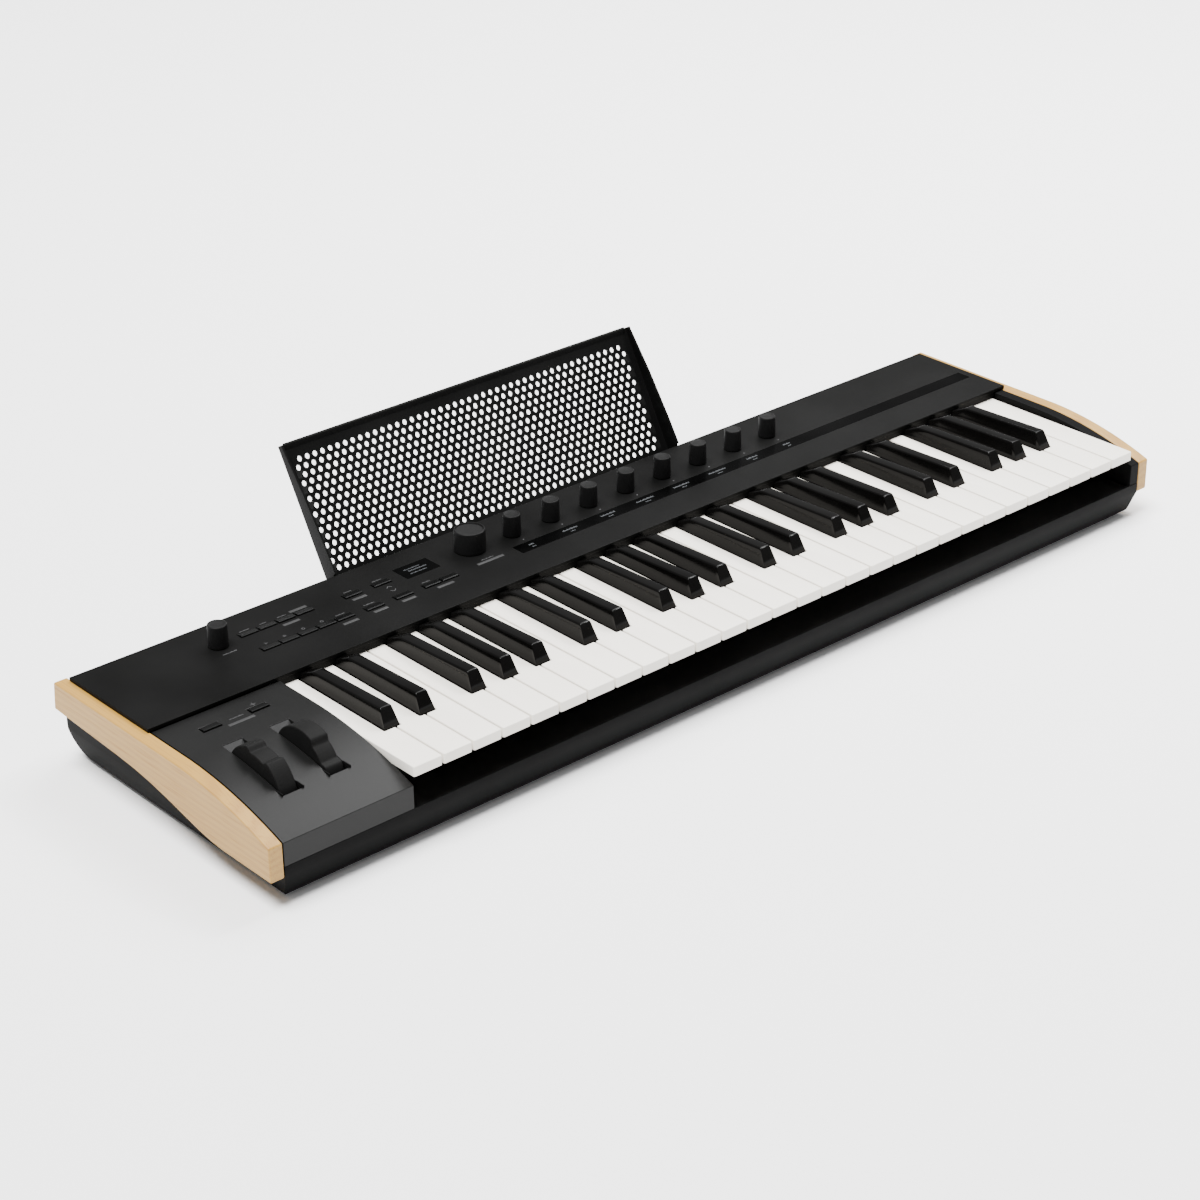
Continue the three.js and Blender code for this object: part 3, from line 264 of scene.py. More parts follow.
class Value:
    # A number in the shader: expressions on it add Math nodes.
    def __init__(self, paint, socket):
        self.paint = paint
        self.socket = socket

    def math(self, operation, *others):
        return self.paint.math(operation, self, *others)

    def __add__(self, other):
        return self.math("ADD", other)

    def __radd__(self, other):
        return self.math("ADD", other)

    def __sub__(self, other):
        return self.math("SUBTRACT", other)

    def __rsub__(self, other):
        return self.paint.math("SUBTRACT", other, self)

    def __mul__(self, other):
        return self.math("MULTIPLY", other)

    def __rmul__(self, other):
        return self.math("MULTIPLY", other)

    def __pow__(self, other):
        return self.math("POWER", other)


class Paint:
    # One material: node() adds a node from its type, its settings and its sockets' values.
    def __init__(self, name, color, roughness, metallic=0.0, coat=0.0, specular=0.5):
        self.material = bpy.data.materials.new(name)
        self.material.use_nodes = True
        self.tree = self.material.node_tree
        self.surface = self.tree.nodes["Principled BSDF"]
        for socket, value in (("Base Color", (*color, 1)), ("Roughness", roughness),
                              ("Metallic", metallic), ("Coat Weight", coat),
                              ("Coat Roughness", 0.08), ("Specular IOR Level", specular)):
            self.surface.inputs[socket].default_value = value
        self.place = self.tree.nodes.new("ShaderNodeTexCoord").outputs["Object"]

    def node(self, kind, settings=None, sockets=(), output=0):
        made = self.tree.nodes.new(kind)
        for key, value in (settings or {}).items():
            setattr(made, key, value)
        pairs = sockets.items() if isinstance(sockets, dict) else enumerate(sockets)
        for key, value in pairs:
            if isinstance(value, Value):
                self.tree.links.new(value.socket, made.inputs[key])
            elif isinstance(value, bpy.types.NodeSocket):
                self.tree.links.new(value, made.inputs[key])
            else:
                made.inputs[key].default_value = value
        return Value(self, made.outputs[output])

    def math(self, operation, *values):
        return self.node("ShaderNodeMath", {"operation": operation}, values)

    def axes(self):
        first = self.node("ShaderNodeSeparateXYZ", None, {"Vector": self.place})
        return [Value(self, socket) for socket in first.socket.node.outputs]

    def noise(self, scale, detail=3.0, stretch=(1, 1, 1)):
        mapped = self.node("ShaderNodeMapping", None, {"Vector": self.place, "Scale": stretch})
        return self.node("ShaderNodeTexNoise", None,
                         {"Vector": mapped, "Scale": scale, "Detail": detail})

    def ramp(self, value, low, high):
        return self.node("ShaderNodeMapRange", None, [value, low, high, 0.0, 1.0])

    def blend(self, factor, first, second):
        sockets = {0: factor, 6: (*first, 1) if isinstance(first, tuple) else first, 7: (*second, 1)}
        return self.node("ShaderNodeMix", {"data_type": "RGBA"}, sockets, 2)

    def feed(self, socket, value):
        self.tree.links.new(value.socket, self.surface.inputs[socket])

    def bump(self, height, strength, distance):
        sockets = {"Strength": strength, "Distance": distance, "Height": height}
        self.feed("Normal", self.node("ShaderNodeBump", None, sockets))


grainLook = {
    "driftScale": 14, "driftDetail": 4, "driftShare": 0.7, "fineDetail": 2, "fineShare": 0.3,
    "low": 0.35, "high": 0.65, "lift": 0.002, "height": 0.00006,
    "gloss": {"base": -0.05, "drift": 0.07, "fine": 0.03},
}


def mouldedPlastic(name, color, roughness, grain, depth, specular=0.3, spread=0.12):
    # Fine spark-eroded grain, and a slow drift of tone and gloss over the moulding: the tone runs
    # from color * (1 - spread) to color * (1 + spread) with 0.7 drift + 0.3 grain.
    s = grainLook
    gloss = s["gloss"]
    paint = Paint(name, color, roughness, specular=specular)
    drift = paint.noise(s["driftScale"], s["driftDetail"])
    fine = paint.noise(grain, s["fineDetail"])
    lighter = tuple(min(1, c * (1 + spread) + s["lift"]) for c in color)
    darker = tuple(c * (1 - spread) for c in color)
    tone = paint.ramp(drift * s["driftShare"] + fine * s["fineShare"], s["low"], s["high"])
    paint.feed("Base Color", paint.blend(tone, darker, lighter))
    paint.feed("Roughness", roughness + gloss["base"] + drift * gloss["drift"] + fine * gloss["fine"])
    paint.bump(fine, depth, s["height"])
    return paint.material


woodLook = {
    "light": (0.36, 0.20, 0.031), "dark": (0.275, 0.135, 0.017), "fleck": (0.17, 0.07, 0.009),
    "coat": 0.04, "ringRate": 1500, "ringSharpness": 1.6, "ringShare": 0.5,
    "pith": {"across": 0.35, "below": 0.18},
    "waver": {"scale": 9, "stretch": (1, 0.22, 1), "across": 0.05, "up": 0.034},
    "ripple": {"scale": 60, "stretch": (1, 0.08, 1), "up": 0.0014},
    "flecks": {"scale": 900, "stretch": (1, 0.035, 1), "low": 0.52, "high": 0.74, "share": 0.35},
    "cloud": {"scale": 22, "stretch": (1, 0.25, 1), "share": 0.35},
    "roughness": {"base": 0.44, "fleck": 0.14, "cloud": 0.08},
    "bump": {"fleck": -0.6, "ripple": 0.4, "strength": 0.18, "height": 0.00012},
}


def paleWood(name):
    # Growth rings are the sine of the distance from a far pith, wavered by noise and drawn out
    # along the board; short dark flecks are a much finer stretched noise.
    s = woodLook
    pith, wavers, ripples = s["pith"], s["waver"], s["ripple"]
    flecks, clouds, gloss, relief = s["flecks"], s["cloud"], s["roughness"], s["bump"]
    paint = Paint(name, s["light"], 0.5, coat=s["coat"])
    across, _, up = paint.axes()
    waver = paint.noise(wavers["scale"], 3, wavers["stretch"])
    ripple = paint.noise(ripples["scale"], 3, ripples["stretch"])
    dx = across * pith["across"] + waver * wavers["across"]
    dz = up + pith["below"] + waver * wavers["up"] + ripple * ripples["up"]
    distance = (dx * dx + dz * dz) ** 0.5
    rings = paint.math("SINE", distance * s["ringRate"])
    band = paint.ramp(rings, -1.0, 1.0) ** s["ringSharpness"]
    fleckNoise = paint.noise(flecks["scale"], 2, flecks["stretch"])
    fleck = paint.ramp(fleckNoise, flecks["low"], flecks["high"])
    cloud = paint.noise(clouds["scale"], 2, clouds["stretch"])
    base = paint.blend(band * s["ringShare"] + cloud * clouds["share"], s["light"], s["dark"])
    paint.feed("Base Color", paint.blend(fleck * flecks["share"], base, s["fleck"]))
    paint.feed("Roughness", gloss["base"] + fleck * gloss["fleck"] + cloud * gloss["cloud"])
    paint.bump(fleck * relief["fleck"] + ripple * relief["ripple"], relief["strength"], relief["height"])
    return paint.material


boardLook = {
    "lacquer": (0.02, 0.11, 0.05), "scale": 160.0, "first": (0.015, 0.09, 0.04, 1),
    "second": (0.03, 0.15, 0.07, 1), "track": (0.05, 0.2, 0.1, 1), "roughness": 0.4,
    "gloss": {"base": 0.32, "scale": 300, "noise": 0.2},
}


def circuitBoard(name):
    # Green lacquer over a grid of tracks: a brick pattern whose joints are the tracks.
    s, gloss = boardLook, boardLook["gloss"]
    paint = Paint(name, s["lacquer"], s["roughness"])
    sockets = {"Vector": paint.place, "Scale": s["scale"], "Color1": s["first"],
               "Color2": s["second"], "Mortar": s["track"]}
    paint.feed("Base Color", paint.node("ShaderNodeTexBrick", {"offset": 0.5}, sockets))
    paint.feed("Roughness", gloss["base"] + paint.noise(gloss["scale"]) * gloss["noise"])
    return paint.material


steelLook = {
    "color": (0.30, 0.30, 0.31), "roughness": 0.34, "scale": 700, "stretch": (0.04, 1, 1),
    "base": 0.26, "streak": 0.2, "strength": 0.12, "height": 0.00005,
}


def brushedSteel(name):
    # Streaks are noise drawn out along the width, which roughens and lifts the surface.
    s = steelLook
    paint = Paint(name, s["color"], s["roughness"], 1.0)
    streak = paint.noise(s["scale"], 2, s["stretch"])
    paint.feed("Roughness", s["base"] + streak * s["streak"])
    paint.bump(streak, s["strength"], s["height"])
    return paint.material


litLook = {"color": (0.62, 0.68, 0.75), "unlit": (0.005, 0.005, 0.005), "strength": 0.3,
           "flicker": 500, "dim": 0.7}


def litMarks(name):
    # Glowing strokes that vary by noise between their colour and a dimmer one.
    s = litLook
    paint = Paint(name, s["unlit"], 0.5)
    flicker = paint.noise(s["flicker"], 1)
    paint.surface.inputs["Emission Strength"].default_value = s["strength"]
    dimmer = tuple(c * s["dim"] for c in s["color"])
    paint.feed("Emission Color", paint.blend(flicker, s["color"], dimmer))
    return paint.material


paints = {
    "case": mouldedPlastic("caseGrain", (0.0024, 0.0024, 0.0024), 0.5, 2600, 0.35, specular=0.028),
    "cover": mouldedPlastic("wheelPanelSatin", (0.0026, 0.0026, 0.0025), 0.38, 3000, 0.22,
                            specular=0.16, spread=0.08),
    "panel": mouldedPlastic("panelPowderCoat", (0.0030, 0.0030, 0.0029), 0.44, 2400, 0.3,
                            specular=0.035),
    "wood": paleWood("cheekMaple"),
    "white": mouldedPlastic("whiteKeyGrain", (0.80, 0.76, 0.69), 0.42, 1500, 0.35,
                            specular=0.5, spread=0.015),
    "black": mouldedPlastic("blackKeyGloss", (0.0012, 0.0011, 0.0010), 0.085, 1800, 0.03,
                            specular=0.075),
    "control": mouldedPlastic("controlMatte", (0.0048, 0.0048, 0.0048), 0.55, 2600, 0.3,
                              specular=0.1),
    "button": mouldedPlastic("buttonSatin", (0.0008, 0.0008, 0.0008), 0.27, 2600, 0.08,
                             specular=0.06),
    "wheel": mouldedPlastic("wheelSoftTouch", (0.0050, 0.0050, 0.0049), 0.6, 2400, 0.35,
                            specular=0.06),
    "stand": mouldedPlastic("standPowderCoat", (0.0030, 0.0030, 0.0029), 0.5, 1700, 0.35,
                            specular=0.04),
    "window": mouldedPlastic("smokedWindow", (0.0004, 0.0004, 0.0004), 0.2, 3000, 0.02,
                             specular=0.012),
    # The label grey also paints the wheel stops lighter than their black plastic, as painted light on faces
    # turned to the lamps.
    "chip": mouldedPlastic("labelGrey", (0.017, 0.017, 0.0173), 0.5, 3000, 0.1),
    "print": mouldedPlastic("printedMarks", (0.05, 0.05, 0.052), 0.6, 3000, 0.05),
    "rubber": mouldedPlastic("footRubber", (0.012, 0.012, 0.012), 0.85, 1200, 0.6),
    "board": circuitBoard("greenBoard"),
    "steel": brushedSteel("frameSteel"),
    "lit": litMarks("litReadout"),
}
print("materials made")


keyShape = {
    "pitch": octaveSpan / 7, "seam": 1.35, "thickness": 7.0, "head": 46.9, "length": 141.5,
    "centres": (21.2, 49.3, 90.9, 117.5, 144.3), "clear": 6.7, "edge": 0.7,
    "frontRadius": 1.3, "shoulderRadius": 0.9, "waistRadius": 0.7, "rearRadius": 0.5,
    "arm": {"halfWidth": 4, "front": 132, "pastHinge": 2, "low": -9.0, "high": -5.0, "edge": 0.4},
}
besideBlacks = {0: (None, 0), 1: (0, 1), 2: (1, None), 3: (None, 2), 4: (2, 3), 5: (3, 4), 6: (4, None)}

# How each kind of comb is hinged; a post carries a key's arm to a bar at another height.
combs = {
    "outer": {"keys": (0, 2, 4, 6), "hinge": 190, "bar": (-9, -5)},
    "inner": {"keys": (1, 3, 5), "hinge": 182, "bar": (-13.5, -10.5), "post": (4, -13.5, -5.2)},
    "black": {"hinge": 174, "bar": (-3.5, -0.5), "post": (3, -9, -0.5)},
}
combBar = {"past": 3, "halfDepth": 1.9, "edge": 0.4, "postHalfDepth": 2, "postEdge": 0.3}


def whiteKey(index, octave, kind):
    # A plan outline with a full-width head and a waist that clears the black keys beside it,
    # carried down by the key's thickness, and the arm under it that reaches its hinge.
    s, arm = keyShape, keyShape["arm"]
    start = octave * octaveSpan
    left = start + index * s["pitch"] + s["seam"] / 2
    right = left + s["pitch"] - s["seam"]
    before, after = besideBlacks[index] if octave < octaves else (None, None)
    waistLeft = left if before is None else start + s["centres"][before] + s["clear"]
    waistRight = right if after is None else start + s["centres"][after] - s["clear"]
    corners = [(left, 0), (right, 0)]
    radii = [s["frontRadius"], s["frontRadius"]]
    if after is not None:
        corners += [(right, s["head"]), (waistRight, s["head"])]
        radii += [s["shoulderRadius"], s["waistRadius"]]
    corners += [(waistRight, s["length"]), (waistLeft, s["length"])]
    radii += [s["rearRadius"], s["rearRadius"]]
    if before is not None:
        corners += [(waistLeft, s["head"]), (left, s["head"])]
        radii += [s["waistRadius"], s["shoulderRadius"]]
    top = roundedPrism(roundOutline(corners, radii), -s["thickness"], 0, s["edge"])
    middle = (waistLeft + waistRight) / 2
    half, reach = arm["halfWidth"], combs[kind]["hinge"] + arm["pastHinge"]
    under = block(middle - half, middle + half, arm["front"], reach, arm["low"], arm["high"], arm["edge"])
    return [top, under], middle


blackShape = {
    "front": 47.6, "rear": 135.9, "low": -7, "below": -4, "halfBase": 5.9, "lean": 0.115,
    "profile": ((47.6, 0.1), (53.3, 12.55), (124, 9.7), (135.9, 4.2)), "radii": (0, 2.1, 9, 0),
    "round": 1.35, "roundShare": 0.45, "leastRound": 0.03, "step": 12,
    "hollow": 0.35, "hollowFrom": 8, "arm": (3, 130, 176),
}


def blackKey(centre):
    # A section of leaning sides and a round-cornered top is carried along the side profile:
    # up the sloping front, back along the top and down at the rear. Half width at height z is
    # halfBase - lean * z, less a sine that draws the sides in slightly at half height.
    s = blackShape
    ends = ((s["rear"], s["below"]), (s["front"], s["below"]))
    profile = roundOutline(s["profile"] + ends, s["radii"] + (0, 0), 9)[:-2]
    profile = profile[np.argsort(profile[:, 0], kind="stable")]
    counts = np.maximum(1, (np.diff(profile[:, 0]) / s["step"])).astype(int)
    dense = [np.linspace(a, b, n, endpoint=False) for a, b, n in zip(profile[:-1], profile[1:], counts)]
    along = np.vstack([*dense, profile[-1]])
    height = along[:, 1][:, None]
    radius = np.minimum(s["round"], np.maximum(height * s["roundShare"], s["leastRound"]))
    cornerX = s["halfBase"] - s["lean"] * height - radius
    rise = np.linspace(0, 1, 5)[None, 1:-1]
    wallZ = rise * (height - radius)
    hollow = s["hollow"] * np.sin(math.pi * rise) * np.minimum(1, height / s["hollowFrom"])
    wallX = s["halfBase"] - s["lean"] * wallZ - hollow
    base = np.full_like(height, s["halfBase"])
    rightX = np.hstack([base, base, wallX, cornerX + radius * np.cos(quarterTurn)])
    rightZ = np.hstack([np.full_like(height, s["low"]), np.zeros_like(height), wallZ,
                        height - radius + radius * np.sin(quarterTurn)])
    sectionX = np.hstack([rightX, -rightX[:, ::-1]]) + centre
    sectionZ = np.hstack([rightZ, rightZ[:, ::-1]])
    sectionY = np.repeat(along[:, 0][:, None], sectionX.shape[1], 1)
    points = np.stack([sectionX, sectionY, sectionZ], -1)
    cap = points.reshape(-1, 3), ringFaces(points.shape[0], points.shape[1])
    half, front, rear = s["arm"]
    arm = keyShape["arm"]
    under = block(centre - half, centre + half, front, rear, arm["low"], arm["high"], arm["edge"])
    return [cap, under], centre


def comb(keys, kind, body, name, paint):
    # Keys, their posts and the hinge bar from the first key's arm to the last one's.
    s, hinge, bar = combs[kind], combs[kind]["hinge"], combBar
    shapes = []
    for shape, middle in keys:
        shapes += shape
        if "post" in s:
            half, low, high = s["post"]
            shapes.append(block(middle - half, middle + half, hinge - bar["postHalfDepth"],
                                hinge + bar["postHalfDepth"], low, high, bar["postEdge"]))
    if len(keys) > 1:
        shapes.append(block(keys[0][1] - bar["past"], keys[-1][1] + bar["past"],
                            hinge - bar["halfDepth"], hinge + bar["halfDepth"], *s["bar"], bar["edge"]))
    finishPiece(meshPiece(name, gather(shapes)), body, paints[paint], (body,))


for octave in range(octaves):
    label = octave + 1
    outer = [whiteKey(index, octave, "outer") for index in combs["outer"]["keys"]]
    comb(outer, "outer", f"white_keys_cegb_{label}", f"outerWhiteKeys{label}", "white")
    inner = [whiteKey(index, octave, "inner") for index in combs["inner"]["keys"]]
    comb(inner, "inner", f"white_keys_dfa_{label}", f"innerWhiteKeys{label}", "white")
    raised = [blackKey(octave * octaveSpan + centre) for centre in keyShape["centres"]]
    comb(raised, "black", f"black_keys_{label}", f"blackKeys{label}", "black")
comb([whiteKey(0, octaves, "outer")], "outer", "white_key_top_c", "topWhiteKey", "white")
print("keys made")


shellEdges = {"rim": 0.9, "coverBottom": -27.5}


def everywhere(x, y, z):
    # Every edge is rounded.
    return True


def aboveCoverFoot(x, y, z):
    # All of the wheel cover but the edges that stand on the case.
    return z > shellEdges["coverBottom"]


def panelRim(x, y, z):
    # The distance to the nearest side of the panel is less than the rim, above its lower face.
    near = min(x - panelLow[0], panelHigh[0] - x, y - panelLow[1], panelHigh[1] - y)
    return near < shellEdges["rim"] and z > panelLow[2]


def insidePanel(x, y, z):
    # The edges of the holes and pockets.
    return not panelRim(x, y, z)


# Node: piece, paint, slot and the (radius, test) passes that round its edges.
shells = {
    "bottom_case": ("caseTub", "case", "case_plastic", [(0.9, everywhere)]),
    "left_cheek": ("leftCheek", "wood", "cheek_wood", [(1.1, everywhere)]),
    "right_cheek": ("rightCheek", "wood", "cheek_wood", [(1.1, everywhere)]),
    "wheel_panel": ("wheelCover", "cover", "wheel_panel_plastic", [(0.35, aboveCoverFoot)]),
    "right_end_block": ("endBlock", "case", "case_plastic", [(0.5, everywhere)]),
    "top_panel": ("topPanel", "panel", "panel_metal", [(1.0, panelRim), (0.22, insidePanel)]),
    "display_window": ("displayWindow", "window", "window_gloss", [(0.15, everywhere)]),
    "strip_window": ("stripWindow", "window", "window_gloss", [(0.15, everywhere)]),
}
for node, (name, paint, slot, edges) in shells.items():
    finishPiece(softCopy(node, name, edges), "root", paints[paint], (node,))

# The key frame takes the stand's black powder coat as painted shade: it darkens what shows of it in the
# seams between the keys.
insideParts = {"key_frame": "stand", "key_contact_board": "board", "main_board": "board",
               "jack_board": "board", "wheel_bracket": "steel"}
for node, paint in insideParts.items():
    target = frame["nodes"][node]
    target.data.materials.clear()
    target.data.materials.append(paints[paint])
print("casings made")


footShape = {"radius": 10, "hollow": 6.5, "depth": 0.5, "edge": 0.9, "sides": 48}
for corner in ("front_left", "front_right", "rear_left", "rear_right"):
    low, high = localBox(f"foot_{corner}")
    bottom, top = low[2], high[2]
    r, edge, inner, depth = (footShape[key] for key in ("radius", "edge", "hollow", "depth"))
    profile = [(0, bottom + depth), (inner - depth, bottom + depth), (inner, bottom), (r - edge, bottom),
               (r - edge * 0.3, bottom + edge * 0.3), (r, bottom + edge), (r, top), (0, top)]
    foot = meshPiece(f"foot{corner.title().replace('_', '')}",
                     turned(profile, *planMiddle(f"foot_{corner}"), footShape["sides"]))
    finishPiece(foot, "root", paints["rubber"], (f"foot_{corner}",))

# A screw's profile is (radius, height over the case floor): a recess in a head that stands a little
# below the floor.
screws = {
    "columns": 6, "rows": (28, 118, 200), "fromEnds": 90, "sides": 24,
    "profile": ((0, -0.05), (0.9, -0.05), (1.0, -0.28), (2.9, -0.28), (3.4, -0.1), (3.4, 0.4), (0, 0.4)),
}
screwProfile = [(radius, caseLow[2] + height) for radius, height in screws["profile"]]
columns = np.linspace(caseLow[0] + screws["fromEnds"], caseHigh[0] - screws["fromEnds"], screws["columns"])
heads = [turned(screwProfile, column, row, screws["sides"]) for column in columns for row in screws["rows"]]
finishPiece(meshPiece("floorScrews", gather(heads)), "root", paints["steel"])

# A bushing's profile is (radius, depth out of the rear wall); the nut is where it is widest.
sockets = {
    "count": 4, "spacing": 34, "fromBoardEnd": 14, "underBoardTop": 6.5, "sides": 48,
    "profile": ((3.3, -3), (4.1, -3), (4.1, 0.1), (5.6, 0.1), (5.9, 0.6), (5.9, 1.4),
                (5.2, 1.9), (4.2, 1.9), (4.1, 2.6), (3.5, 2.6), (3.3, 2.3)),
    "nutFrom": 4.3, "nutSharpness": 0.9,
    "port": {"halfWide": 5.1, "halfHigh": 2.5, "corner": 1.2, "wall": 0.5, "inward": 2, "proud": 0.15},
}
boardLow, boardHigh = localBox("jack_board")
socketX = boardLow[0] + sockets["fromBoardEnd"]
socketZ = boardHigh[2] - sockets["underBoardTop"]
rearFace = caseHigh[1]


def bushing(x, z):
    # A threaded bush with its nut, turned about an axis through the rear wall: the nut's radius
    # grows towards its six corners by 1 / cos of the angle from the nearest flat.
    s = sockets
    ring = np.array(s["profile"])
    angle = np.linspace(0, 2 * math.pi, s["sides"], endpoint=False)
    hexagon = 1 / np.cos((angle + math.pi / 6) % (math.pi / 3) - math.pi / 6)
    wide = (ring[:, 0] > s["nutFrom"])[:, None]
    radius = np.where(wide, ring[:, :1] * (1 + s["nutSharpness"] * (hexagon - 1)), ring[:, :1])
    depth = np.repeat(rearFace + ring[:, 1:], s["sides"], 1)
    grid = np.stack([x + radius * np.cos(angle), depth, z + radius * np.sin(angle)], -1)
    return grid.reshape(-1, 3), ringFaces(len(ring), s["sides"], True)


def portSleeve(x, z):
    # A rounded rectangular sleeve: four outlines at two widths and two depths closed on each other.
    s = sockets["port"]
    wide, high = s["halfWide"], s["halfHigh"]
    outline = roundOutline([(-wide, -high), (wide, -high), (wide, high), (-wide, high)], [s["corner"]] * 4)
    points = []
    inward, proud = -s["inward"], s["proud"]
    for grow, depth in ((0, inward), (s["wall"], inward), (s["wall"], proud), (0, proud)):
        section = shrink(outline, -grow)
        face = np.full(len(section), rearFace + depth)
        points.append(np.column_stack([x + section[:, 0], face, z + section[:, 1]]))
    return np.vstack(points), ringFaces(4, len(outline), True)


bushings = [bushing(socketX + i * sockets["spacing"], socketZ) for i in range(sockets["count"])]
finishPiece(meshPiece("jackBushings", gather(bushings)), "root", paints["steel"])
sleeve = portSleeve(socketX + sockets["count"] * sockets["spacing"], socketZ)
finishPiece(meshPiece("portSleeve", sleeve), "root", paints["steel"])
print("small fittings made")


knobShape = {
    "overPanel": 0.35, "edge": 0.8, "taper": 0.35, "shaft": 3, "sides": 72,
    "foot": {"in": 0.6, "rise": 0.5, "straight": 1.6}, "rimInner": (0.3, 0.25),
    "dishDepths": (0.4, 1.05, 1.08),
}
# Node: piece, depth of the dish and width of the rim.
knobTops = {f"knob_{n}": (f"smallKnob{n}", 0.18, 0.2) for n in range(1, 9)}
knobTops["knob_volume"] = ("volumeKnob", 0.2, 0.3)
knobTops["dial_value"] = ("valueDial", 1.1, 0.5)


def knob(node, dish, rim):
    # The side draws in a little towards a rounded edge, and the top is dished inside its rim.
    s, foot = knobShape, knobShape["foot"]
    low, high = localBox(node)
    r, top = (high[0] - low[0]) / 2, high[2]
    bottom = panelTop + s["overPanel"]
    edge, outer = s["edge"], r - s["taper"] - s["edge"]
    arc = np.stack([outer + edge * np.cos(quarterTurn), top - edge + edge * np.sin(quarterTurn)], 1)
    inner = outer - rim
    crest, slope = s["rimInner"]
    first, second, last = s["dishDepths"]
    profile = [(0, low[2]), (s["shaft"], low[2]), (s["shaft"], bottom), (r - foot["in"], bottom),
               (r, bottom + foot["rise"]), (r, bottom + foot["straight"]), *arc, (inner + crest, top),
               (inner, top - dish * first), (inner - slope, top - dish),
               (inner * 0.5, top - dish * second), (0, top - dish * last)]
    return turned(profile, *planMiddle(node), s["sides"])


for node, (name, dish, rim) in knobTops.items():
    finishPiece(meshPiece(name, knob(node, dish, rim)), node, paints["control"], (node,))

buttonEdge = 0.28
for node in [body for body in frame["bodies"] if body.startswith("button_")]:
    name = node.title().replace("_", "").replace("Button", "button")
    made = softCopy(node, name, [(buttonEdge, everywhere)])
    finishPiece(made, node, paints["button"], (node,))


wheelShape = {"fillet": 0.8, "bore": 3.15, "ease": 0.38, "sides": 192}
wheels = {
    "pitch_wheel": {"piece": "pitchWheel", "notchAngle": 10, "halfNotch": 22, "depth": 3.6},
    "mod_wheel": {"piece": "modWheel", "notchAngle": 45, "halfNotch": 21, "depth": 3.4},
}


def wheel(node):
    # Radius against angle: a full circle less depth * t * t * (3 - 2 t) in one finger notch; that
    # edge carried across the width with rounded rims and closed through the bore.
    s, own = wheelShape, wheels[node]
    notch, halfNotch = math.radians(own["notchAngle"]), math.radians(own["halfNotch"])
    low, high = localBox(node)
    radius, half = (high[1] - low[1]) / 2, (high[0] - low[0]) / 2
    centre = np.array([*planMiddle(node), high[2] - radius])
    angle = np.linspace(-math.pi, math.pi, s["sides"], endpoint=False)
    gap = np.abs((angle - notch + math.pi) % (2 * math.pi) - math.pi)
    t = np.clip((halfNotch - gap) / (s["ease"] * halfNotch), 0, 1)
    edge = radius - own["depth"] * t * t * (3 - 2 * t)
    inset = s["fillet"] * (1 - np.sin(quarterTurn))
    across = half - s["fillet"] * (1 - np.cos(quarterTurn))
    rings = [(edge - d, x) for d, x in zip([*inset, *inset[::-1]], [*across, *-across[::-1]])]
    rings += [(np.full_like(angle, s["bore"]), x) for x in (-half, half)]
    points = [np.stack([np.full_like(angle, x), -r * np.sin(angle), r * np.cos(angle)], -1)
              for r, x in rings]
    return (np.stack(points) + centre).reshape(-1, 3), ringFaces(len(rings), len(angle), True)


for node, own in wheels.items():
    made = meshPiece(own["piece"], wheel(node), meshFinish["wideSmooth"])
    finishPiece(made, node, paints["wheel"], (node,))

well = {"halfWidth": 7.35, "front": 31.2, "rear": 93.0, "wall": 0.8, "floor": -19.0, "underTop": 6.4,
        "gap": 0.05, "edge": 0.2}
wheelStop = {"underTop": 0.5, "low": 0.3, "lean": 4.4, "overlap": 0.1, "topDepth": 0.9}


def wellSides(x):
    # Two walls beside a wheel's slot.
    s = well
    a, b = x - s["halfWidth"], x + s["halfWidth"]
    front, rear, top = s["front"] - s["wall"], s["rear"] + s["wall"], coverTop - s["underTop"]
    return [block(a - s["wall"], a - s["gap"], front, rear, s["floor"], top, s["edge"]),
            block(b + s["gap"], b + s["wall"], front, rear, s["floor"], top, s["edge"])]


def slotStop(x):
    # The leaning lip behind a wheel: a four-sided section carried across the slot.
    s, wall, rear, top = wheelStop, well["wall"], well["rear"], coverTop - wheelStop["underTop"]
    lip = np.array([(rear - s["overlap"], top), (rear - s["lean"], s["low"]),
                    (rear - s["lean"] + wall, s["low"]), (rear + wall - s["topDepth"], top)])
    half = well["halfWidth"] - s["overlap"]
    ends = [np.column_stack([np.full(4, side), lip]) for side in (x - half, x + half)]
    return np.vstack(ends), ringFaces(2, 4)


slotPlaces = [planMiddle(node)[0] for node in wheels]
wells = [side for x in slotPlaces for side in wellSides(x)]
finishPiece(meshPiece("wheelWells", gather(wells)), "root", paints["case"])
stops = gather([slotStop(x) for x in slotPlaces])
# The stops are drawn in the lighter label grey as painted light: their black plastic is shown lighter where
# it faces the lamps.
finishPiece(meshPiece("wheelStops", stops), "root", paints["chip"])
print("controls made")


standLow, standHigh = localBox("music_stand")
# Depths are (height along the sheet, forward reach of its folded sides).
stand = {
    "lean": math.radians(29.6), "y": 240.0, "z": 8.0, "width": standHigh[0] - standLow[0], "sheet": 1.5,
    "top": 88.3, "fold": 84.2, "bottom": -11.3, "bend": 1.8, "innerBend": 0.4, "levels": 22,
    "depths": ((-11, 8.5), (-6.02, 11.3), (-6, 13.2), (12, 12.5), (51, 9.3), (88.3, 4.2)),
    "rows": 15, "holes": 46, "pitch": 6.5, "rowGap": 5.64, "topRow": 75.9, "radius": 2.05,
    "tab": {"width": 60, "apart": 210, "length": 12}, "foldReach": 1.6, "foldShort": 3.5, "foldSections": 24,
}
standMiddle = (standLow[0] + standHigh[0]) / 2


def leaned(points):
    # From the sheet's own frame (across, through, along) to the key frame: through and along
    # turned about the width by the sheet's lean.
    points = np.asarray(points, float)
    c, s = math.cos(stand["lean"]), math.sin(stand["lean"])
    return np.stack([points[:, 0] + standMiddle, stand["y"] + points[:, 1] * c + points[:, 2] * s,
                     stand["z"] - points[:, 1] * s + points[:, 2] * c], -1)


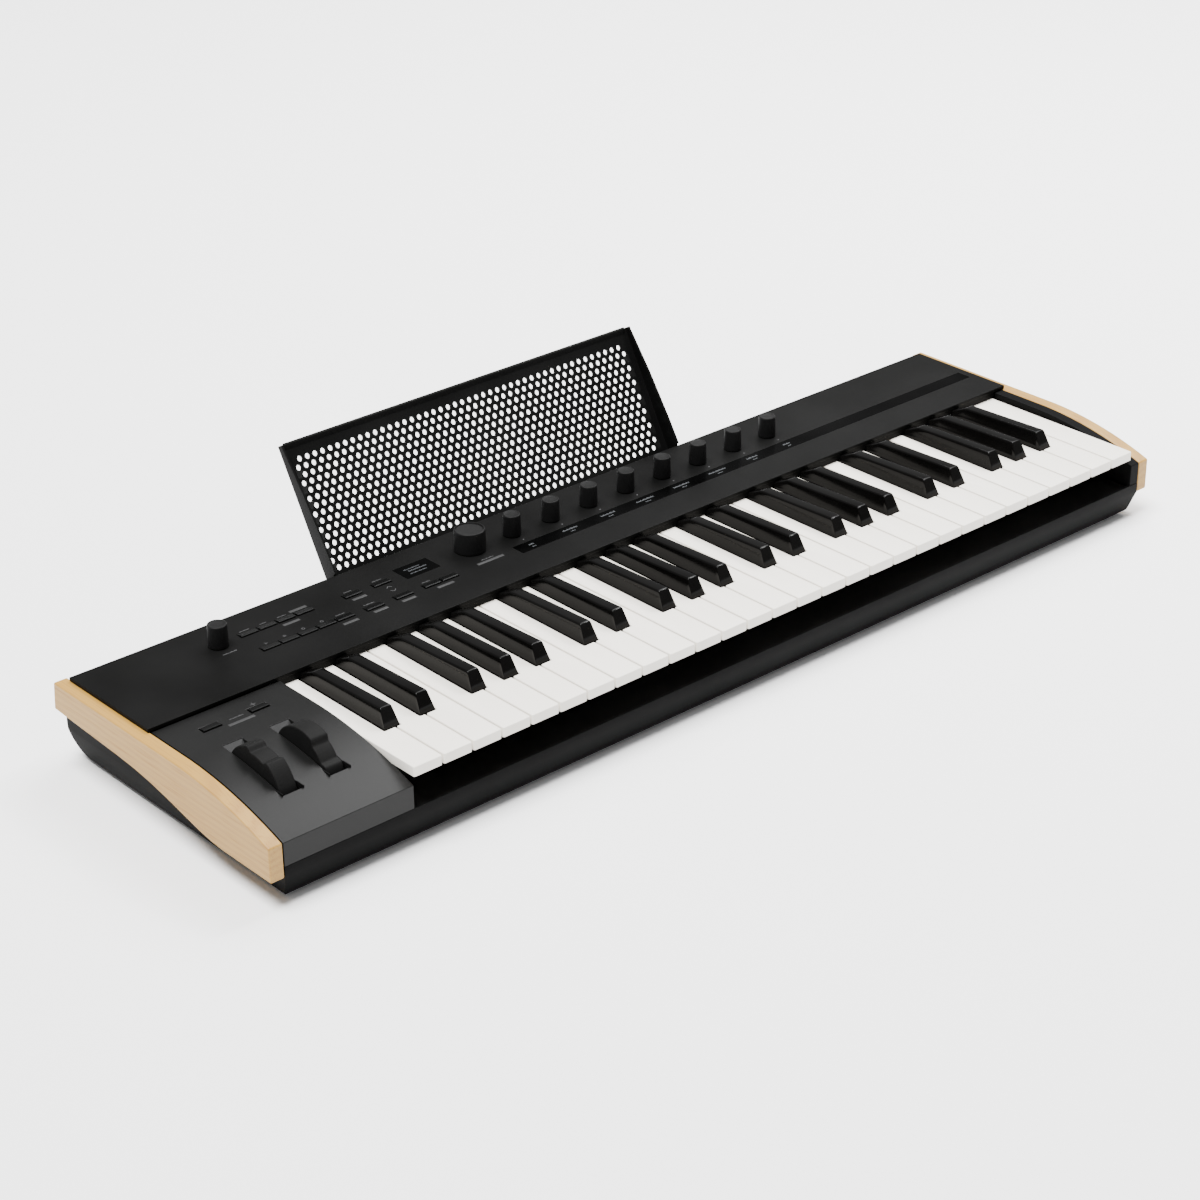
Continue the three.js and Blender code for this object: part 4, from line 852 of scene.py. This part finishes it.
def perforatedRow(count, first, level):
    # One strip of square-edged cells; each cell is a ring of faces between its edge and its hole,
    # on the front and on the back, with the hole's wall between them.
    corners, holeSides = 8, 16
    side = corners + holeSides  # points on one face of a cell
    half, rise = stand["pitch"] / 2, stand["rowGap"] / 2
    edge = np.array([(half, 0), (half, rise), (0, rise), (-half, rise),
                     (-half, 0), (-half, -rise), (0, -rise), (half, -rise)])
    angle = np.linspace(0, 2 * math.pi, holeSides, endpoint=False)
    hole = stand["radius"] * np.stack([np.cos(angle), np.sin(angle)], 1)
    flat = np.vstack([edge, hole])
    cell = np.vstack([np.insert(flat, 1, 0, axis=1), np.insert(flat, 1, stand["sheet"], axis=1)])
    i = np.arange(corners)
    n = (i + 1) % corners
    front = np.stack([i, n, corners + 2 * n, corners + 2 * i + 1, corners + 2 * i], 1)
    j = np.arange(holeSides)
    k = (j + 1) % holeSides
    wall = np.stack([corners + j, corners + k, side + corners + k, side + corners + j], 1)
    faces = front.tolist() + (front + side)[:, ::-1].tolist() + wall.tolist()
    shift = np.stack([first + stand["pitch"] * np.arange(count), np.zeros(count), np.full(count, level)], 1)
    points = (cell[None] + shift[:, None]).reshape(-1, 3)
    return points, [[2 * side * number + v for v in face] for number in range(count) for face in faces]


def sheetStrip(x0, x1, low, high):
    # A flat strip of the sheet between two places across it.
    x0, x1 = sorted((x0, x1))
    return block(x0, x1, 0, stand["sheet"], low, high)


def foldedSide(side, half, span, height, depth):
    # The margin of the sheet and its forward fold: an L with a bent corner, carried up the sheet
    # while its forward leg follows the depth.
    t, bend, inside = stand["sheet"], stand["bend"], stand["innerBend"]
    sine, cosine = np.sin(quarterTurn), np.cos(quarterTurn)
    outer = np.stack([half - bend + bend * sine, t - bend + bend * cosine], 1)
    inner = np.stack([half - t - inside + inside * sine, -inside + inside * cosine], 1)
    rings = []
    for z, d in zip(height, depth):
        section = np.vstack([[(span, 0), (span, t)], outer, [(half, -d), (half - t, -d)], inner[::-1]])
        rings.append(levelRing(section * (side, 1), z))
    return np.vstack(rings), ringFaces(len(rings), len(rings[0]))


def topFold(half):
    # The top edge bent forward: a short curl of the sheet's section carried across the width.
    t, reach, fold, top = (stand[key] for key in ("sheet", "foldReach", "fold", "top"))
    section = np.array([(0, fold), (t, fold), (t, fold + 1.2), (t - 0.5, fold + 2.4),
                        (-reach + 0.4, top + 0.9), (-reach - 0.2, top - 0.4), (-0.9, fold + 1.6)])
    rings = [np.column_stack([np.full(len(section), x), section])
             for x in np.linspace(-half, half, stand["foldSections"])]
    return np.vstack(rings), ringFaces(len(rings), len(section))


def perforatedField():
    # Rows of cells one row gap apart, every second one moved by half a pitch and one cell longer.
    # The shorter rows end in half a cell of plain sheet.
    s, shapes = stand, []
    for row in range(s["rows"]):
        count = s["holes"] + row % 2
        level = s["topRow"] - row * s["rowGap"]
        first = -(count - 1) / 2 * s["pitch"]
        shapes.append(perforatedRow(count, first, level))
        if row % 2 == 0:
            for side in (-1, 1):
                shapes.append(sheetStrip(side * (first - s["pitch"] / 2), side * (first - s["pitch"]),
                                         level - s["rowGap"] / 2, level + s["rowGap"] / 2))
    return shapes


def musicStand():
    # The perforated field, plain strips around it, folded sides, a folded top and two tabs.
    s, tab = stand, stand["tab"]
    half = s["width"] / 2
    span = (s["holes"] + 1) * s["pitch"] / 2
    upper = s["topRow"] + s["rowGap"] / 2
    lower = s["topRow"] - (s["rows"] - 0.5) * s["rowGap"]
    shapes = perforatedField()
    shapes.append(sheetStrip(-span, span, upper, s["fold"]))
    shapes.append(sheetStrip(-span, span, s["bottom"], lower))
    levels, depths = np.array(s["depths"]).T
    height = np.concatenate([levels[:3], np.linspace(levels[3], levels[-1], s["levels"])])
    depth = np.interp(height, levels, depths)
    for side in (-1, 1):
        shapes.append(foldedSide(side, half, span, height, depth))
        shapes.append(sheetStrip(side * span, side * half, s["bottom"], levels[0]))
    shapes.append(topFold(half - s["foldShort"]))
    for side in (-1, 1):
        x, reach = side * tab["apart"] / 2, tab["width"] / 2
        shapes.append(sheetStrip(x - reach, x + reach, s["bottom"] - tab["length"], s["bottom"]))
    points, faces = gather(shapes)
    return leaned(points), faces


made = meshPiece("perforatedStand", musicStand(), meshFinish["wideSmooth"])
finishPiece(made, "music_stand", paints["stand"], ("music_stand",))
print("stand made")


# Marks stand for lettering and have no meaning. Each is placed from the middle of the node beside
# it, and is a thin slab from just under the surface to just over it.
mark = {"under": 0.02, "over": 0.07, "stroke": 0.35, "slabSides": (-0.02, 0.07)}


def surfaceOf(node):
    # The height of the surface that a mark beside a node lies on.
    return coverTop if node.startswith("button_octave") else panelTop


def slab(x0, x1, y0, y1, z):
    # A flat rectangle through the surface at height z.
    return block(x0, x1, y0, y1, z - mark["under"], z + mark["over"])


# Node: offset across and along, and width.
chips = {
    "button_upper_c": (-0.15, -7.2, 13.3), "button_upper_d": (-1.0, 5.4, 13.8),
    "button_lower_e": (-0.6, -8.0, 12.4), "button_exit": (0.9, -7.2, 11.4),
    "button_shift": (0.95, -6.6, 11.5), "button_down": (-0.2, -7.0, 11.4),
    "button_page_left": (6.9, -7.2, 14), "dial_value": (0.6, -21.8, 23),
    "button_octave_up": (-17.0, -6.5, 19.6),
}
chipShape = {"depth": 2.7, "over": 0.08, "edge": 0.1}


def chip(node):
    # A pale label: a thin rounded rectangle.
    across, along, width = chips[node]
    x, y = planMiddle(node) + (across, along)
    z, half = surfaceOf(node), chipShape["depth"] / 2
    return block(x - width / 2, x + width / 2, y - half, y + half, z - mark["under"], z + chipShape["over"],
                 chipShape["edge"])


finishPiece(meshPiece("labelChips", gather([chip(node) for node in chips])), "root",
            paints["chip"])

# A word's strokes: widths least + spread * |sin|, heights low or high parts of the given height.
strokes = {"most": 60, "gap": 0.42, "least": 0.3, "spread": 0.28, "low": 0.6, "rise": 0.3,
           "widthTurn": 2.399, "heightTurn": 1.7, "heightSeed": 3, "tallFrom": 0.4}


def word(x, y, length, height, z, seed):
    # A row of short upright strokes and gaps, as many as fit the length, centred on x.
    s = strokes
    order = np.arange(s["most"])
    widths = s["least"] + s["spread"] * np.abs(np.sin(order * s["widthTurn"] + seed))
    tall = np.sin(order * s["heightTurn"] + seed * s["heightSeed"]) > s["tallFrom"]
    heights = height * (s["low"] + s["rise"] * tall)
    ends = np.cumsum(widths + s["gap"])
    keep = ends <= length
    starts = ends - widths - s["gap"] - ends[keep][-1] / 2 + x
    return [slab(a, a + w, y, y + h, z) for a, w, h in zip(starts[keep], widths[keep], heights[keep])]


def wordsBeside(rows):
    # Rows are (node, offset across, offset along, length, height, seed).
    shapes = []
    for node, across, along, length, height, seed in rows:
        x, y = planMiddle(node) + (across, along)
        shapes += word(x, y, length, height, surfaceOf(node), seed)
    return shapes


printedWords = (
    ("button_upper_a", 0.2, 4.1, 8, 1.1, 0), ("button_upper_b", 0.2, 4.1, 5.5, 1.1, 1),
    ("button_upper_c", 0.2, 4.1, 8, 1.1, 2), ("button_upper_d", 0.2, 4.1, 5.5, 1.1, 3),
    ("button_lower_e", 0.2, 4.7, 8, 1.1, 9), ("button_exit", 0.2, 4.7, 7, 1.1, 5),
    ("button_up", 0.3, 4.7, 8, 1.1, 6), ("button_shift", 0.2, 5.0, 9, 1.1, 7),
    ("button_page_left", -0.4, 4.8, 8, 1.1, 8), ("dial_value", 0.6, -18.7, 11, 1.1, 2),
    ("knob_volume", 0.4, -13.1, 11, 1.3, 3), ("button_octave_up", -16.8, -1.0, 11, 1.2, 4),
)


def outlineMark(x, y, size, sides, turn):
    # A closed outline of that many sides, drawn as a thin raised band.
    angle = turn + np.linspace(0, 2 * math.pi, sides, endpoint=False)
    rim = np.stack([np.cos(angle), np.sin(angle)], 1)
    under, over, inner = -mark["under"], mark["over"], size - mark["stroke"]
    rings = [(size, under), (size, over), (inner, over), (inner, under)]
    points = [levelRing((x, y) + radius * rim, panelTop + height) for radius, height in rings]
    return np.vstack(points), ringFaces(4, sides, True)


# Node: size, sides and turn of the outline over a lower button.
symbols = {
    "button_lower_a": (1.3, 3, 0.0), "button_lower_b": (1.3, 4, math.pi / 4),
    "button_lower_c": (1.2, 20, 0.0), "button_lower_d": (1.3, 6, 0.0),
}
symbolOffset = (0.3, 5.4)
arrows = {"button_up": (0.2, -8.6, 1), "button_down": (0.2, 10.4, -1)}
arrowShape = {"tip": 1.6, "wing": 2.2, "drop": 0.9, "stroke": 0.5}


def arrowMark(node):
    # Two leaning strokes that meet in a point, up or down.
    s = arrowShape
    across, along, up = arrows[node]
    middle = planMiddle(node) + (across, along)
    shapes = []
    for side in (-1, 1):
        x, inner, outer = side * s["wing"], s["tip"] - s["stroke"], -s["drop"] + s["stroke"]
        arm = np.array([(0, up * inner), (0, up * s["tip"]), (x, up * outer), (x, -up * s["drop"])])
        if side * up > 0:
            arm = arm[::-1]
        ends = [levelRing(middle + arm, panelTop + height) for height in mark["slabSides"]]
        shapes.append((np.vstack(ends), ringFaces(2, 4)))
    return shapes


dotMark = {"offset": (1.0, -11.3), "radius": 0.55, "over": 0.1, "sides": 16}
plusMark = {"up": 5.8, "arm": 2.2, "half": 0.2}


def knobDot(node):
    # A small disc before a knob.
    s = dotMark
    x, y = planMiddle(node) + s["offset"]
    low, high = panelTop - mark["under"], panelTop + s["over"]
    return turned([(0, low), (s["radius"], low), (s["radius"], high), (0, high)], x, y, s["sides"])


def plusSign(node):
    # Two crossed slabs over a button of the cover.
    arm, half = plusMark["arm"], plusMark["half"]
    x, y = planMiddle(node) + (0, plusMark["up"])
    return [slab(x - arm, x + arm, y - half, y + half, coverTop),
            slab(x - half, x + half, y - arm, y + arm, coverTop)]


prints = wordsBeside(printedWords)
prints += [outlineMark(*(planMiddle(node) + symbolOffset), *symbol) for node, symbol in symbols.items()]
prints += [stroke for node in arrows for stroke in arrowMark(node)]
knobNodes = [f"knob_{n}" for n in range(1, 9)]
prints += [knobDot(node) for node in knobNodes]
prints += plusSign("button_octave_up")
finishPiece(meshPiece("printedMarks", gather(prints)), "root", paints["print"])

litRows = {
    "across": 0.3, "names": -21.3, "nameHeight": 2.0, "nameLengths": (5, 14, 14, 17, 16, 18, 11, 8),
    "values": -24.6, "valueHeight": 1.2, "valueLengths": (4, 5, 5, 6, 5, 6, 5, 4), "valueSeed": 10,
}
displayWords = (
    ("display_window", -2, 2.6, 14, 1.2, 2), ("display_window", 1, -0.6, 16, 1.6, 5),
    ("display_window", -1, -4.4, 15, 1.2, 8),
)
litWords = []
for seed, node in enumerate(knobNodes, 1):
    nameLength, valueLength = litRows["nameLengths"][seed - 1], litRows["valueLengths"][seed - 1]
    litWords += [
        (node, litRows["across"], litRows["names"], nameLength, litRows["nameHeight"], seed),
        (node, litRows["across"], litRows["values"], valueLength, litRows["valueHeight"],
         litRows["valueSeed"] + seed),
    ]
lit = wordsBeside([*litWords, *displayWords])
finishPiece(meshPiece("litReadouts", gather(lit)), "root", paints["lit"])
print("marks made")


stage = {"halfWidth": 30, "floor": (0.93, 0.93, 0.93), "gloss": (0.75, 0.1), "worldStrength": 0.5}
lights = {
    "broadLight": {"kind": "SUN", "place": (-0.5, 0.05, 1.9), "energy": 9.5, "angle": math.radians(30)},
    "highPanel": {"kind": "AREA", "place": (1.25, 0.5, 1.8), "energy": 66, "size": 1.5},
    "sparkPanel": {"kind": "AREA", "place": (1.3, -0.15, 1.75), "energy": 22, "size": 0.3},
}
view = {
    "azimuth": -41.265, "elevation": 27.348, "roll": -0.639, "lens": 84.45, "sensor": 36, "far": 100,
    "place": (-879.46, -1175.29, 869.63),
}


def paleFloor():
    # A level square under the object, at the height of the CAD box's low side.
    half, z = stage["halfWidth"], cadBox[0][2]
    mesh = bpy.data.meshes.new("floor")
    mesh.from_pydata([(-half, -half, z), (half, -half, z), (half, half, z), (-half, half, z)], [],
                     [(0, 1, 2, 3)])
    paint = Paint("paleFloor", stage["floor"], 0.8)
    paint.feed("Roughness", stage["gloss"][0] + paint.noise(3) * stage["gloss"][1])
    mesh.materials.append(paint.material)
    floor = bpy.data.objects.new("floor", mesh)
    bpy.context.collection.objects.link(floor)
    return floor


def aimed(name, kind, place, **settings):
    # A light at a place from the object's middle, turned to face it.
    middle = Vector([(a + b) / 2 for a, b in zip(*cadBox)])
    light = bpy.data.lights.new(name, kind)
    for key, value in settings.items():
        setattr(light, key, value)
    holder = bpy.data.objects.new(name, light)
    holder.location = middle + Vector(place)
    holder.rotation_euler = (middle - holder.location).to_track_quat("-Z", "Y").to_euler()
    bpy.context.collection.objects.link(holder)


def cameraAxes(azimuth, elevation, roll):
    # Backward, right and up from the direction to the camera, then turned about the line of sight.
    a, e, r = (math.radians(v) for v in (azimuth, elevation, roll))
    back = Vector((math.sin(a) * math.cos(e), -math.cos(a) * math.cos(e), math.sin(e)))
    right = (-back).cross(Vector((0, 0, 1))).normalized()
    up = right.cross(-back)
    return right * math.cos(r) + up * math.sin(r), up * math.cos(r) - right * math.sin(r), back


paleFloor()

world = bpy.data.worlds.new("studio")
world.use_nodes = True
world.node_tree.nodes["Background"].inputs["Color"].default_value = (1, 1, 1, 1)
world.node_tree.nodes["Background"].inputs["Strength"].default_value = stage["worldStrength"]
bpy.context.scene.world = world
for name, settings in lights.items():
    aimed(name, **settings)

camera = bpy.data.objects.new("camera", bpy.data.cameras.new("camera"))
camera.data.lens = view["lens"]
camera.data.sensor_width = view["sensor"]
camera.data.clip_end = view["far"]
place = Vector(keyOrigin) + Vector(view["place"]) * mm
axes = cameraAxes(view["azimuth"], view["elevation"], view["roll"])
camera.matrix_world = Matrix.Translation(place) @ Matrix(axes).transposed().to_4x4()
bpy.context.collection.objects.link(camera)
bpy.context.scene.camera = camera
print("stage made")
